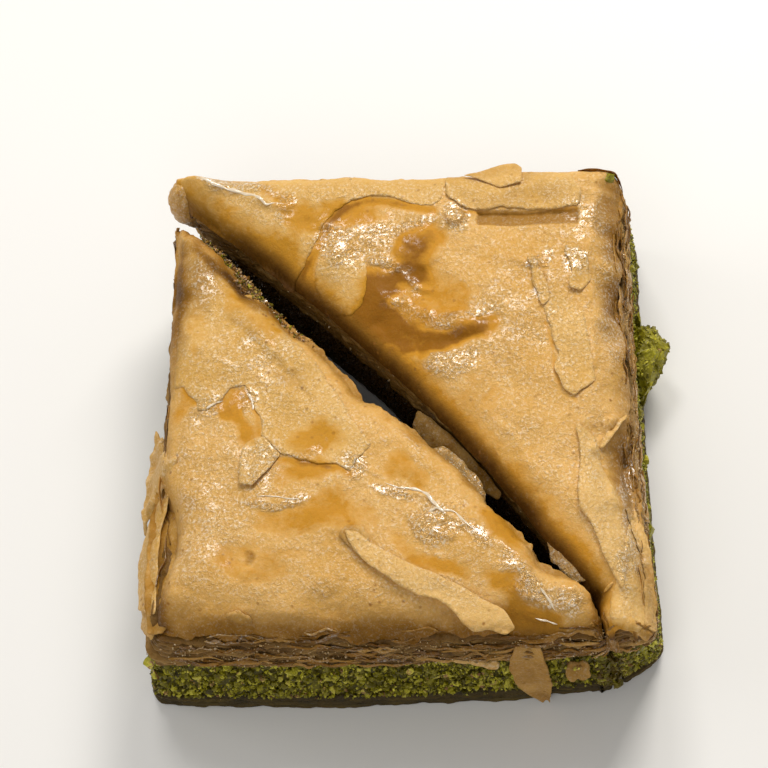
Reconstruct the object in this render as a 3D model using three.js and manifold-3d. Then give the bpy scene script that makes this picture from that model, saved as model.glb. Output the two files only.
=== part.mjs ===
// A square of pistachio baklava, cut from corner to corner into two three-sided slices that lie
// a few millimetres apart. Each slice is a crust of pressed pastry sheets on a layer of ground
// pistachio on a thin base of pastry sheets, with torn and curled bits of sheet on the crust.
// Millimetres, +Z up. The slices stand on Z = 0, and the origin is under the middle of the whole.
import * as THREE from "three";
import { mergeVertices } from "three/addons/utils/BufferGeometryUtils.js";
import Module from "manifold-3d";

const wasm = await Module();
wasm.setup();

// Heights
const BASE_TOP = 2.3; // top of the bottom sheets
const FILLING_TOP = 11.8; // top of the pistachio, underside of the crust
const CROWN = 22.4; // the crust where no side pulls it down

// The middle of the tray square, measured from the origin
const SQUARE_MIDDLE = new THREE.Vector3(-1.3, 0.1, 0);

// Fineness
const SIDE_STEP = 1.9; // between points round a crust or a filling
const CRUST_LEVELS = [0, 0.16, 0.32, 0.48, 0.64, 0.8, 0.92];
const CRUST_SCALES = [1, 0.975, 0.945, 0.9, 0.83, 0.72, 0.58, 0.42, 0.26, 0.12];
const FILLING_LEVELS = [0, 0.2, 0.4, 0.6, 0.8, 1];

// Relief
const LEDGES = [0, -0.7, 0.3, -0.6, 0.5, -0.5, 0.1]; // how the pressed sheets jut at each level
const SHEET_RELIEF = 0.32;
const CRUMB_RELIEF = 0.8; // how far the nuts in the filling stand in and out
const SHEET = 0.45; // thickness of a torn bit of sheet
const BEDDED = 0.5; // how deep a bit of sheet is set into the crust

// Each slice, as the corners of its plan in the tray square, anticlockwise from above. A corner has
// its place on the crust's rim and where the slice meets the tray. Of the side that starts there
// it says how far in the crust rolls over (roll), how far it falls (drop), and how much the side
// bows in at the tray and at the rim.
const SLICES = {
  back: {
    middle: [15.5, 12],
    corners: [
      { rim: [-27.0, 27.9], foot: [-25.0, 28.0], round: 1.6, roll: 6, drop: 3.4, bow: [2.6, 3] },
      { rim: [24.2, -24.9], foot: [25.3, -24.7], round: 1.4, roll: 3, drop: 3, bow: [0, 0] },
      { rim: [25.6, -29.3], foot: [26.4, -28.6], round: 0.8, roll: 2.5, drop: 3.2, bow: [0, 0] },
      { rim: [29.7, -29.6], foot: [31.2, -25.2], round: 1.6, roll: 5, drop: 4, bow: [0.5, 0.7] },
      { rim: [27.2, 30.0], foot: [28.8, 31.0], round: 2.4, roll: 3, drop: 2.2, bow: [0, 0.4] },
      { rim: [-27.6, 30.5], foot: [-26.6, 29.8], round: 1.8, roll: 1.6, drop: 1.6, bow: [0, 0] },
    ],
    // Swells and dents of the top: middle, radius, height
    swells: [
      [17, 12, 9, 0.7],
      [2.5, 10.5, 5.5, -0.8],
      [-14.5, 25.5, 7, 0.8],
      [8, 22, 5, 0.4],
      [16, 24, 5, -0.5],
      [26.5, -7.5, 3.4, -1.8],
      [21.5, -16, 6, 0.5],
    ],
    dents: [[28.5, -7.5, 3, 1]],
  },
  front: {
    middle: [-10.8, -12.4],
    corners: [
      { rim: [-27.5, -28.8], foot: [-30.7, -30.6], round: 3, roll: 7, drop: 4.6, bow: [-0.9, 0] },
      { rim: [24.0, -29.2], foot: [25.1, -29.2], round: 1, roll: 2.2, drop: 3.2, bow: [0, 0] },
      { rim: [23.3, -26.1], foot: [23.2, -27.2], round: 1.6, roll: 3.6, drop: 2.6, bow: [-0.3, -0.3] },
      { rim: [-24.9, 23.1], foot: [-26.6, 22.4], round: 1.4, roll: 2.4, drop: 3.2, bow: [0, 0] },
      { rim: [-26.9, 24.7], foot: [-28.2, 24.6], round: 1.4, roll: 4.2, drop: 3.4, bow: [0.5, 0.9] },
    ],
    swells: [
      [-12, -14, 9, 0.6],
      [-4, -3, 5, -0.4],
      [9, -20, 5, 0.5],
      [-22.5, 6, 4.5, 0.6],
      [-26, -15, 3.2, -1],
      [17.5, -27, 4, -0.5],
    ],
    // Dents in the plan near the rim: middle, radius, depth
    dents: [[-3.5, -0.2, 4, 1.3]],
  },
};

// Colours of the parts, as sRGB
const CRUST_COLOUR = 0xc79a5b;
const FILLING_COLOUR = 0x56581a;
const BASE_COLOUR = 0x6b4c22;

// ---------------------------------------------------------------- plan and height of a slice

const mix = THREE.MathUtils.lerp;
const clamp01 = (value) => THREE.MathUtils.clamp(value, 0, 1);
const { degToRad } = THREE.MathUtils;

// Numbers from 0 to 1 that are the same on every run.
function seeded(seed) {
  let state = seed;
  return () => {
    state = (Math.imul(state, 1664525) + 1013904223) >>> 0;
    return state / 2 ** 32;
  };
}

// The slow unevenness of hand-laid pastry, about -1 to 1.
function ripple(x, y, z) {
  const broad = Math.sin(0.31 * x + 0.9 * z + 1.3) * Math.cos(0.27 * y - 0.7 * z);
  const fine = Math.sin(0.83 * x - 0.61 * y + 1.9 * z) + Math.cos(0.57 * x + 0.94 * y - 1.2 * z);
  return 0.5 * broad + 0.25 * fine;
}

// A slice's plan between the tray (share 0) and the rim (share 1), as a rounded closed path.
function planPath(slice, share) {
  const points = slice.corners.map(
    ({ rim, foot }) => new THREE.Vector2(mix(foot[0], rim[0], share), mix(foot[1], rim[1], share)),
  );
  const path = new THREE.Path();
  points.forEach((corner, i) => {
    const before = points.at(i - 1);
    const after = points[(i + 1) % points.length];
    const round = slice.corners[i].round;
    const arrive = corner.clone().lerp(before, Math.min(0.45, round / corner.distanceTo(before)));
    const leave = corner.clone().lerp(after, Math.min(0.45, round / corner.distanceTo(after)));
    if (i === 0) {
      path.moveTo(leave.x, leave.y);
    } else {
      bowedLine(path, arrive, mix(...slice.corners[i - 1].bow, share));
      path.quadraticCurveTo(corner.x, corner.y, leave.x, leave.y);
    }
    if (i === points.length - 1) {
      const first = points[0].clone().lerp(corner, slice.corners[0].round / points[0].distanceTo(corner));
      const start = path.getPoint(0);
      bowedLine(path, first, mix(...slice.corners[i].bow, share));
      path.quadraticCurveTo(points[0].x, points[0].y, start.x, start.y);
    }
  });
  return path;
}

// A side that bows towards its left by the given depth.
function bowedLine(path, end, depth) {
  const { x, y } = path.currentPoint;
  const along = end.clone().sub(path.currentPoint).normalize();
  const pull = 2 * depth;
  path.quadraticCurveTo((x + end.x) / 2 - along.y * pull, (y + end.y) / 2 + along.x * pull, end.x, end.y);
}

function planRing(slice, share, count) {
  const middle = new THREE.Vector2(...slice.middle);
  return planPath(slice, share)
    .getSpacedPoints(count)
    .slice(0, count)
    .map((point) => {
      let inward = 0;
      for (const [x, y, radius, depth] of slice.dents) {
        inward += depth * share * Math.exp(-((point.x - x) ** 2 + (point.y - y) ** 2) / radius ** 2);
      }
      return moveOut(point, middle, -inward);
    });
}

function moveOut(point, middle, distance) {
  const away = point.clone().sub(middle);
  return point.clone().addScaledVector(away, distance / away.length());
}

// How far a point lies from the rim's side that starts at corner i, less where the side bows in.
function depthInside(slice, i, x, y) {
  const a = new THREE.Vector2(...slice.corners[i].rim);
  const side = new THREE.Vector2(...slice.corners[(i + 1) % slice.corners.length].rim).sub(a);
  const point = new THREE.Vector2(x, y).sub(a);
  const along = clamp01(point.dot(side) / side.lengthSq());
  const bow = 4 * along * (1 - along) * slice.corners[i].bow[1];
  return point.distanceTo(side.multiplyScalar(along)) - bow;
}

// The crust's top: a crown that rolls over towards each side, with swells, dents and a slow ripple.
function topHeight(slice, x, y) {
  let fall = 0;
  slice.corners.forEach(({ roll, drop }, i) => {
    const out = 1 - clamp01(depthInside(slice, i, x, y) / roll);
    fall += (drop * (1 - Math.sqrt(1 - Math.min(out, 0.999) ** 2))) ** 2;
  });
  let height = CROWN - Math.sqrt(fall) + 0.28 * ripple(x, y, 0);
  for (const [cx, cy, radius, rise] of slice.swells) {
    height += rise * Math.exp(-((x - cx) ** 2 + (y - cy) ** 2) / radius ** 2);
  }
  return height;
}

// ---------------------------------------------------------------- closed skins over rings

// Triangles between two rings of vertex numbers, which may differ in length.
function bridge(lower, upper, faces) {
  let i = 0;
  let j = 0;
  while (i < lower.length || j < upper.length) {
    const a = lower[i % lower.length];
    const b = upper[j % upper.length];
    const stepLower = (i + 1) / lower.length <= (j + 1) / upper.length;
    if (j >= upper.length || (i < lower.length && stepLower)) {
      i += 1;
      faces.push(a, lower[i % lower.length], b);
    } else {
      j += 1;
      faces.push(a, upper[j % upper.length], b);
    }
  }
}

// A closed geometry over rings of Vector3, from the middle of the first cap to that of the last.
function skin(rings, first, last) {
  const points = [first];
  const numbered = rings.map((ring) => ring.map((point) => points.push(point) - 1));
  const end = points.push(last) - 1;
  const faces = [];
  numbered[0].forEach((a, i, ring) => faces.push(0, ring[(i + 1) % ring.length], a));
  numbered.slice(1).forEach((ring, i) => bridge(numbered[i], ring, faces));
  numbered.at(-1).forEach((a, i, ring) => faces.push(a, ring[(i + 1) % ring.length], end));
  const geometry = new THREE.BufferGeometry().setFromPoints(points);
  geometry.setIndex(faces);
  return geometry;
}

function solidOf(geometry) {
  const bare = new THREE.BufferGeometry();
  bare.setAttribute("position", geometry.getAttribute("position"));
  if (geometry.index) bare.setIndex(geometry.index);
  const merged = mergeVertices(bare, 1e-3);
  const make = (triVerts) =>
    new wasm.Manifold(
      new wasm.Mesh({ numProp: 3, vertProperties: merged.attributes.position.array, triVerts }),
    );
  const solid = make(new Uint32Array(merged.index.array));
  return solid.volume() > 0 ? solid : make(new Uint32Array(merged.index.array).reverse());
}

function geometryOf(solid) {
  const { vertProperties, triVerts } = solid.getMesh();
  const geometry = new THREE.BufferGeometry();
  geometry.setAttribute("position", new THREE.BufferAttribute(vertProperties, 3));
  geometry.setIndex(new THREE.BufferAttribute(triVerts, 1));
  geometry.computeVertexNormals();
  return geometry;
}

// ---------------------------------------------------------------- the three layers of a slice

function crustBody(slice) {
  const count = Math.round(planPath(slice, 1).getLength() / SIDE_STEP);
  const middle = new THREE.Vector2(...slice.middle);
  const low = FILLING_TOP / CROWN;
  const rings = CRUST_LEVELS.map((level, i) =>
    planRing(slice, mix(low, 1, level), count).map((point) => {
      const jut = i === 0 ? 0 : LEDGES[i] + 0.8 * ripple(1.7 * point.x, 1.7 * point.y, 7 * level);
      const { x, y } = moveOut(point, middle, SHEET_RELIEF * jut);
      return new THREE.Vector3(x, y, mix(FILLING_TOP, topHeight(slice, x, y), level));
    }),
  );
  for (const scale of CRUST_SCALES) {
    rings.push(
      planRing(slice, 1, Math.max(12, Math.round(count * scale))).map((point) => {
        const { x, y } = middle.clone().lerp(point, scale);
        return new THREE.Vector3(x, y, topHeight(slice, x, y));
      }),
    );
  }
  const { x, y } = middle;
  const crown = new THREE.Vector3(x, y, topHeight(slice, x, y));
  return solidOf(skin(rings, new THREE.Vector3(x, y, FILLING_TOP), crown));
}

function fillingBody(slice, seed) {
  const random = seeded(seed);
  const count = Math.round(planPath(slice, 0.5).getLength() / SIDE_STEP);
  const middle = new THREE.Vector2(...slice.middle);
  const rings = FILLING_LEVELS.map((level) => {
    const z = mix(BASE_TOP, FILLING_TOP, level);
    const tumble = level > 0 && level < 1 ? 0.9 : 0;
    return planRing(slice, z / CROWN, count).map((point) => {
      const { x, y } = moveOut(point, middle, CRUMB_RELIEF * (random() - 0.8));
      return new THREE.Vector3(x, y, z + tumble * (random() - 0.5));
    });
  });
  const { x, y } = middle;
  return solidOf(skin(rings, new THREE.Vector3(x, y, BASE_TOP), new THREE.Vector3(x, y, FILLING_TOP)));
}

// The thin sheets underneath, with a narrower foot, as the lowest sheets curl clear of the tray.
function baseBody(slice) {
  const count = Math.round(planPath(slice, 0).getLength() / (1.6 * SIDE_STEP));
  const middle = new THREE.Vector2(...slice.middle);
  const profile = [
    { z: 0, inward: 0.7, wave: 0 },
    { z: 0.6, inward: 0, wave: 0.25 },
    { z: 1.4, inward: 0.35, wave: 0.25 },
    { z: BASE_TOP, inward: 0.15, wave: 0.15 },
  ];
  const rings = profile.map(({ z, inward, wave }) =>
    planRing(slice, z / CROWN, count).map((point) => {
      const { x, y } = moveOut(point, middle, wave * ripple(2 * point.x, 2 * point.y, z) - inward);
      return new THREE.Vector3(x, y, z);
    }),
  );
  const { x, y } = middle;
  return solidOf(skin(rings, new THREE.Vector3(x, y, 0), new THREE.Vector3(x, y, BASE_TOP)));
}

// ---------------------------------------------------------------- bits of sheet and of nut

// A closed thin solid over a grid. place(u, v) gives a point of its upper face and the step from
// there to its lower face.
function thinSolid(place, along, across) {
  const rings = Array.from({ length: along + 1 }, (_, i) => {
    const row = Array.from({ length: across + 1 }, (__, j) => place(i / along, j / across));
    const upper = row.map(({ top }) => top);
    const lower = row.map(({ top, down }) => top.clone().add(down)).reverse();
    return [...upper, ...lower];
  });
  const middleOf = (ring) =>
    ring.reduce((sum, point) => sum.add(point), new THREE.Vector3()).divideScalar(ring.length);
  return solidOf(skin(rings, middleOf(rings[0]), middleOf(rings.at(-1))));
}

// A leaf-shaped bit of sheet lying on the crust. Its long axis is turned from +X, its width comes
// and goes along its length, and one of its long edges (-1 right, 1 left) may lift.
function lyingLeaf(slice, { at, size, turn, lift = 0, edge = -1, blunt = 0.35, thick = 0.4 }) {
  const [long, wide] = size;
  const ragged = 0.1;
  const angle = degToRad(turn);
  const place = (u, v) => {
    const round = Math.max(blunt, Math.sqrt(1 - (2 * u - 1) ** 2));
    const torn = 1 + ragged * Math.sin(17 * u + 3 * v + at[0]);
    const s = (u - 0.5) * long;
    const t = (v - 0.5) * wide * round * torn;
    const x = at[0] + s * Math.cos(angle) - t * Math.sin(angle);
    const y = at[1] + s * Math.sin(angle) + t * Math.cos(angle);
    const raised = clamp01(0.2 + 0.8 * edge * (2 * v - 1)) ** 2;
    const top = new THREE.Vector3(x, y, topHeight(slice, x, y) + thick + lift * raised);
    return { top, down: new THREE.Vector3(0, 0, -thick - (lift > 0 ? BEDDED * (1 - raised) : BEDDED)) };
  };
  return thinSolid(place, Math.max(5, Math.round(long / 1.8)), wide > 3 ? 3 : 2);
}

// A sheet that lies flat on the crust inside a turned box: its edges show as a step.
function laidSheet(body, { at, size, turn, thick = SHEET }) {
  const box = solidOf(new THREE.BoxGeometry(size[0], size[1], 60));
  return body.translate([0, 0, thick]).intersect(box.rotate([0, 0, turn]).translate([at[0], at[1], 48.5]));
}

// A strip of sheet along a line in space. across is the heading of its width, and widths are
// spread evenly along it.
function strip({ line, across, widths, thick = SHEET, belly = 0.3 }) {
  const curve = new THREE.CatmullRomCurve3(line.map(([x, y, z]) => new THREE.Vector3(x, y, z)));
  const side = new THREE.Vector3(...across).normalize();
  const place = (u, v) => {
    const face = new THREE.Vector3().crossVectors(curve.getTangent(u), side).normalize();
    const step = u * (widths.length - 1);
    const i = Math.min(Math.floor(step), widths.length - 2);
    const width = mix(widths[i], widths[i + 1], step - i);
    const top = curve.getPoint(u).addScaledVector(side, (v - 0.5) * width);
    top.addScaledVector(face, thick / 2 - belly * Math.sin(Math.PI * v));
    return { top, down: face.multiplyScalar(-thick) };
  };
  return thinSolid(place, (line.length - 1) * 2, 2);
}

// A chunk of nut or a knob of pastry: a knobbly lump with the given half sizes.
function chunk(centre, half, seed, detail = 2, rough = 0.4) {
  const random = seeded(seed);
  const bare = new THREE.IcosahedronGeometry(1, detail).deleteAttribute("normal");
  const ball = mergeVertices(bare.deleteAttribute("uv"));
  const place = ball.getAttribute("position");
  for (let i = 0; i < place.count; i += 1) {
    const knob = 1 + rough * (random() - 0.55);
    place.setXYZ(
      i,
      centre[0] + half[0] * knob * place.getX(i),
      centre[1] + half[1] * knob * place.getY(i),
      centre[2] + half[2] * knob * place.getZ(i),
    );
  }
  return solidOf(ball);
}

function backCrustBits(slice, body) {
  return [
    // the sheet over the narrow end, torn off along a slanting edge
    laidSheet(body, { at: [-16.7, 27.7], size: [26, 22], turn: 52.5 }),
    // the sheet along the back edge, whose near edge is torn straight, with a lip behind
    laidSheet(body, { at: [13.2, 29], size: [20, 7.8], turn: 0.5 }),
    lyingLeaf(slice, { at: [13.8, 29.2], size: [7.5, 2.2], turn: 2, lift: 0.6, edge: 1 }),
    // a blister
    chunk([7.5, 23.4, 22], [1.7, 1.6, 1.2], 5, 1, 0.2),
    // the long bit on the right, and the smaller one behind it
    lyingLeaf(slice, { at: [19.9, 8.6], size: [18, 4.4], turn: -66, lift: 0.35 }),
    lyingLeaf(slice, { at: [22.7, 16.1], size: [5, 2.4], turn: -60, lift: 0.3 }),
    // the pinched fold in the right-hand shoulder
    lyingLeaf(slice, { at: [25.2, -4.8], size: [7.5, 2.6], turn: 54, lift: 1.3, edge: -1, thick: 0.7 }),
    // the tongue of sheet down the tail
    lyingLeaf(slice, { at: [25.2, -17.6], size: [23, 4.6], turn: -80, lift: 0.3, blunt: 0.6, thick: 0.6 }),
    // two slips of sheet that hang in the cut
    strip({
      line: [[1.9, 1.9, 16.6], [5.2, -1.2, 15.8], [9, -5.2, 15.2], [12.6, -9, 15.4]],
      across: [-0.3, -0.3, -0.9],
      widths: [0.8, 3, 3.2, 0.8],
    }),
    strip({
      line: [[17.4, -15.2, 16.4], [19.2, -17.4, 15.4], [21, -19.8, 15.2]],
      across: [-0.3, -0.3, -0.9],
      widths: [1, 3.4, 0.8],
    }),
    // the blunt outer end, where the sheets are pressed into a knob
    chunk([-26.9, 28.1, 18.9], [1.5, 2.6, 2.5], 11, 2, 0.15),
  ];
}

function frontCrustBits(slice, body) {
  return [
    // the long lifted bit across the front
    lyingLeaf(slice, { at: [5.6, -23.2], size: [22.5, 4.6], turn: -31, lift: 1.3 }),
    // the tile-shaped bit, and the torn sheets that run from it
    lyingLeaf(slice, { at: [-14.9, -7.7], size: [7.2, 4.4], turn: 70, lift: 0.3, edge: 1, blunt: 0.6 }),
    laidSheet(body, { at: [-8, -4.2], size: [9, 8], turn: -4, thick: 0.3 }),
    laidSheet(body, { at: [-19.4, -2.8], size: [7, 6.6], turn: -18, thick: 0.3 }),
    // sheets peeled from the left side and leaning out, open along the top
    strip({
      line: [[-27.4, -0.8, 17.6], [-27.9, -5, 17.2], [-28, -10, 17], [-28.1, -16, 16.7], [-28.2, -21, 16.5],
        [-27.8, -26, 16]],
      across: [0.8, 0, 0.6],
      widths: [0.8, 3.4, 3.6, 3.4, 4, 2.6],
    }),
    // a crisp slip along the cut
    strip({
      line: [[-18.2, 15.4, 19.6], [-14.2, 11, 19.4], [-10.6, 6.8, 19.8]],
      across: [0.6, 0.55, 0.58],
      widths: [0.6, 1.8, 0.6],
    }),
    // the bit that hangs down the near side, and the sliver beside it
    strip({
      line: [[15.6, -28, 18], [15.7, -29.9, 15.6], [15.8, -30.6, 11], [16.3, -30.8, 6], [17, -30.9, 1]],
      across: [1, 0, 0],
      widths: [1.6, 3.2, 4.3, 4, 1.2],
    }),
    strip({
      line: [[5.6, -29.2, 12.6], [8.6, -30.2, 12.2], [12.4, -29.6, 12.2]],
      across: [0, -0.35, -0.9],
      widths: [0.4, 1.5, 0.5],
      belly: 0,
    }),
  ];
}

function fused(body, bits) {
  const joined = bits.reduce((whole, bit) => whole.add(bit), body);
  return joined.decompose().sort((a, b) => b.volume() - a.volume())[0];
}

// ---------------------------------------------------------------- the part

function layer(name, solid, colour, roughness) {
  const material = new THREE.MeshStandardMaterial({ color: colour, roughness, metalness: 0 });
  const mesh = new THREE.Mesh(geometryOf(solid), material);
  mesh.name = name;
  return mesh;
}

function sliceGroup(name, crustBits, nutBits, seed) {
  const slice = SLICES[name];
  const crust = crustBody(slice);
  const group = new THREE.Group();
  group.add(
    layer(`${name}_crust`, fused(crust, crustBits(slice, crust)), CRUST_COLOUR, 0.35),
    layer(`${name}_filling`, fused(fillingBody(slice, seed), nutBits), FILLING_COLOUR, 0.6),
    layer(`${name}_base`, baseBody(slice), BASE_COLOUR, 0.5),
  );
  return group;
}

const baklava = new THREE.Group();
baklava.add(
  sliceGroup("back", backCrustBits, [chunk([30.4, 12, 6], [2.5, 3.4, 2.7], 21)], 3),
  sliceGroup("front", frontCrustBits, [chunk([12.8, -29.6, 8.6], [1.2, 0.9, 1], 22, 1)], 4),
);
baklava.position.copy(SQUARE_MIDDLE);

const part = new THREE.Group();
part.add(baklava);
export default part;
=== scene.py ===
import math
import bmesh
import bpy
import numpy as np
from mathutils import Matrix, Vector
from mathutils.geometry import delaunay_2d_cdt


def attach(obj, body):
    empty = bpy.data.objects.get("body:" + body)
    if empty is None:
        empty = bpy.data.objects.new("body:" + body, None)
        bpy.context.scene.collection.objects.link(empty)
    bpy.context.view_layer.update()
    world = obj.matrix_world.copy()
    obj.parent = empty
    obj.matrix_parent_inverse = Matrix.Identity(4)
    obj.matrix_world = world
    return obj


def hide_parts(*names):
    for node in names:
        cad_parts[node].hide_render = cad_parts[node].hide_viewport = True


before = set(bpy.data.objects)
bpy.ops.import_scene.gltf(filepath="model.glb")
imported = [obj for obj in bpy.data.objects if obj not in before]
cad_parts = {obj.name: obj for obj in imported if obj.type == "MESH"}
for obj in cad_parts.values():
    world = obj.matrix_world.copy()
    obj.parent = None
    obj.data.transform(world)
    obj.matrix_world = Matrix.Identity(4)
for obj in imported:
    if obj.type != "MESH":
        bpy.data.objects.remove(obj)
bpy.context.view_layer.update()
print("frame loaded:", ", ".join(sorted(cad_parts)))

# Shapes are worked out in millimetres over the tray square, then moved into the frame.
squareMiddle = np.array([-1.3, 0.1, 0.0])
baseTop = 2.3
fillingTop = 11.8
crown = 22.4

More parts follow.
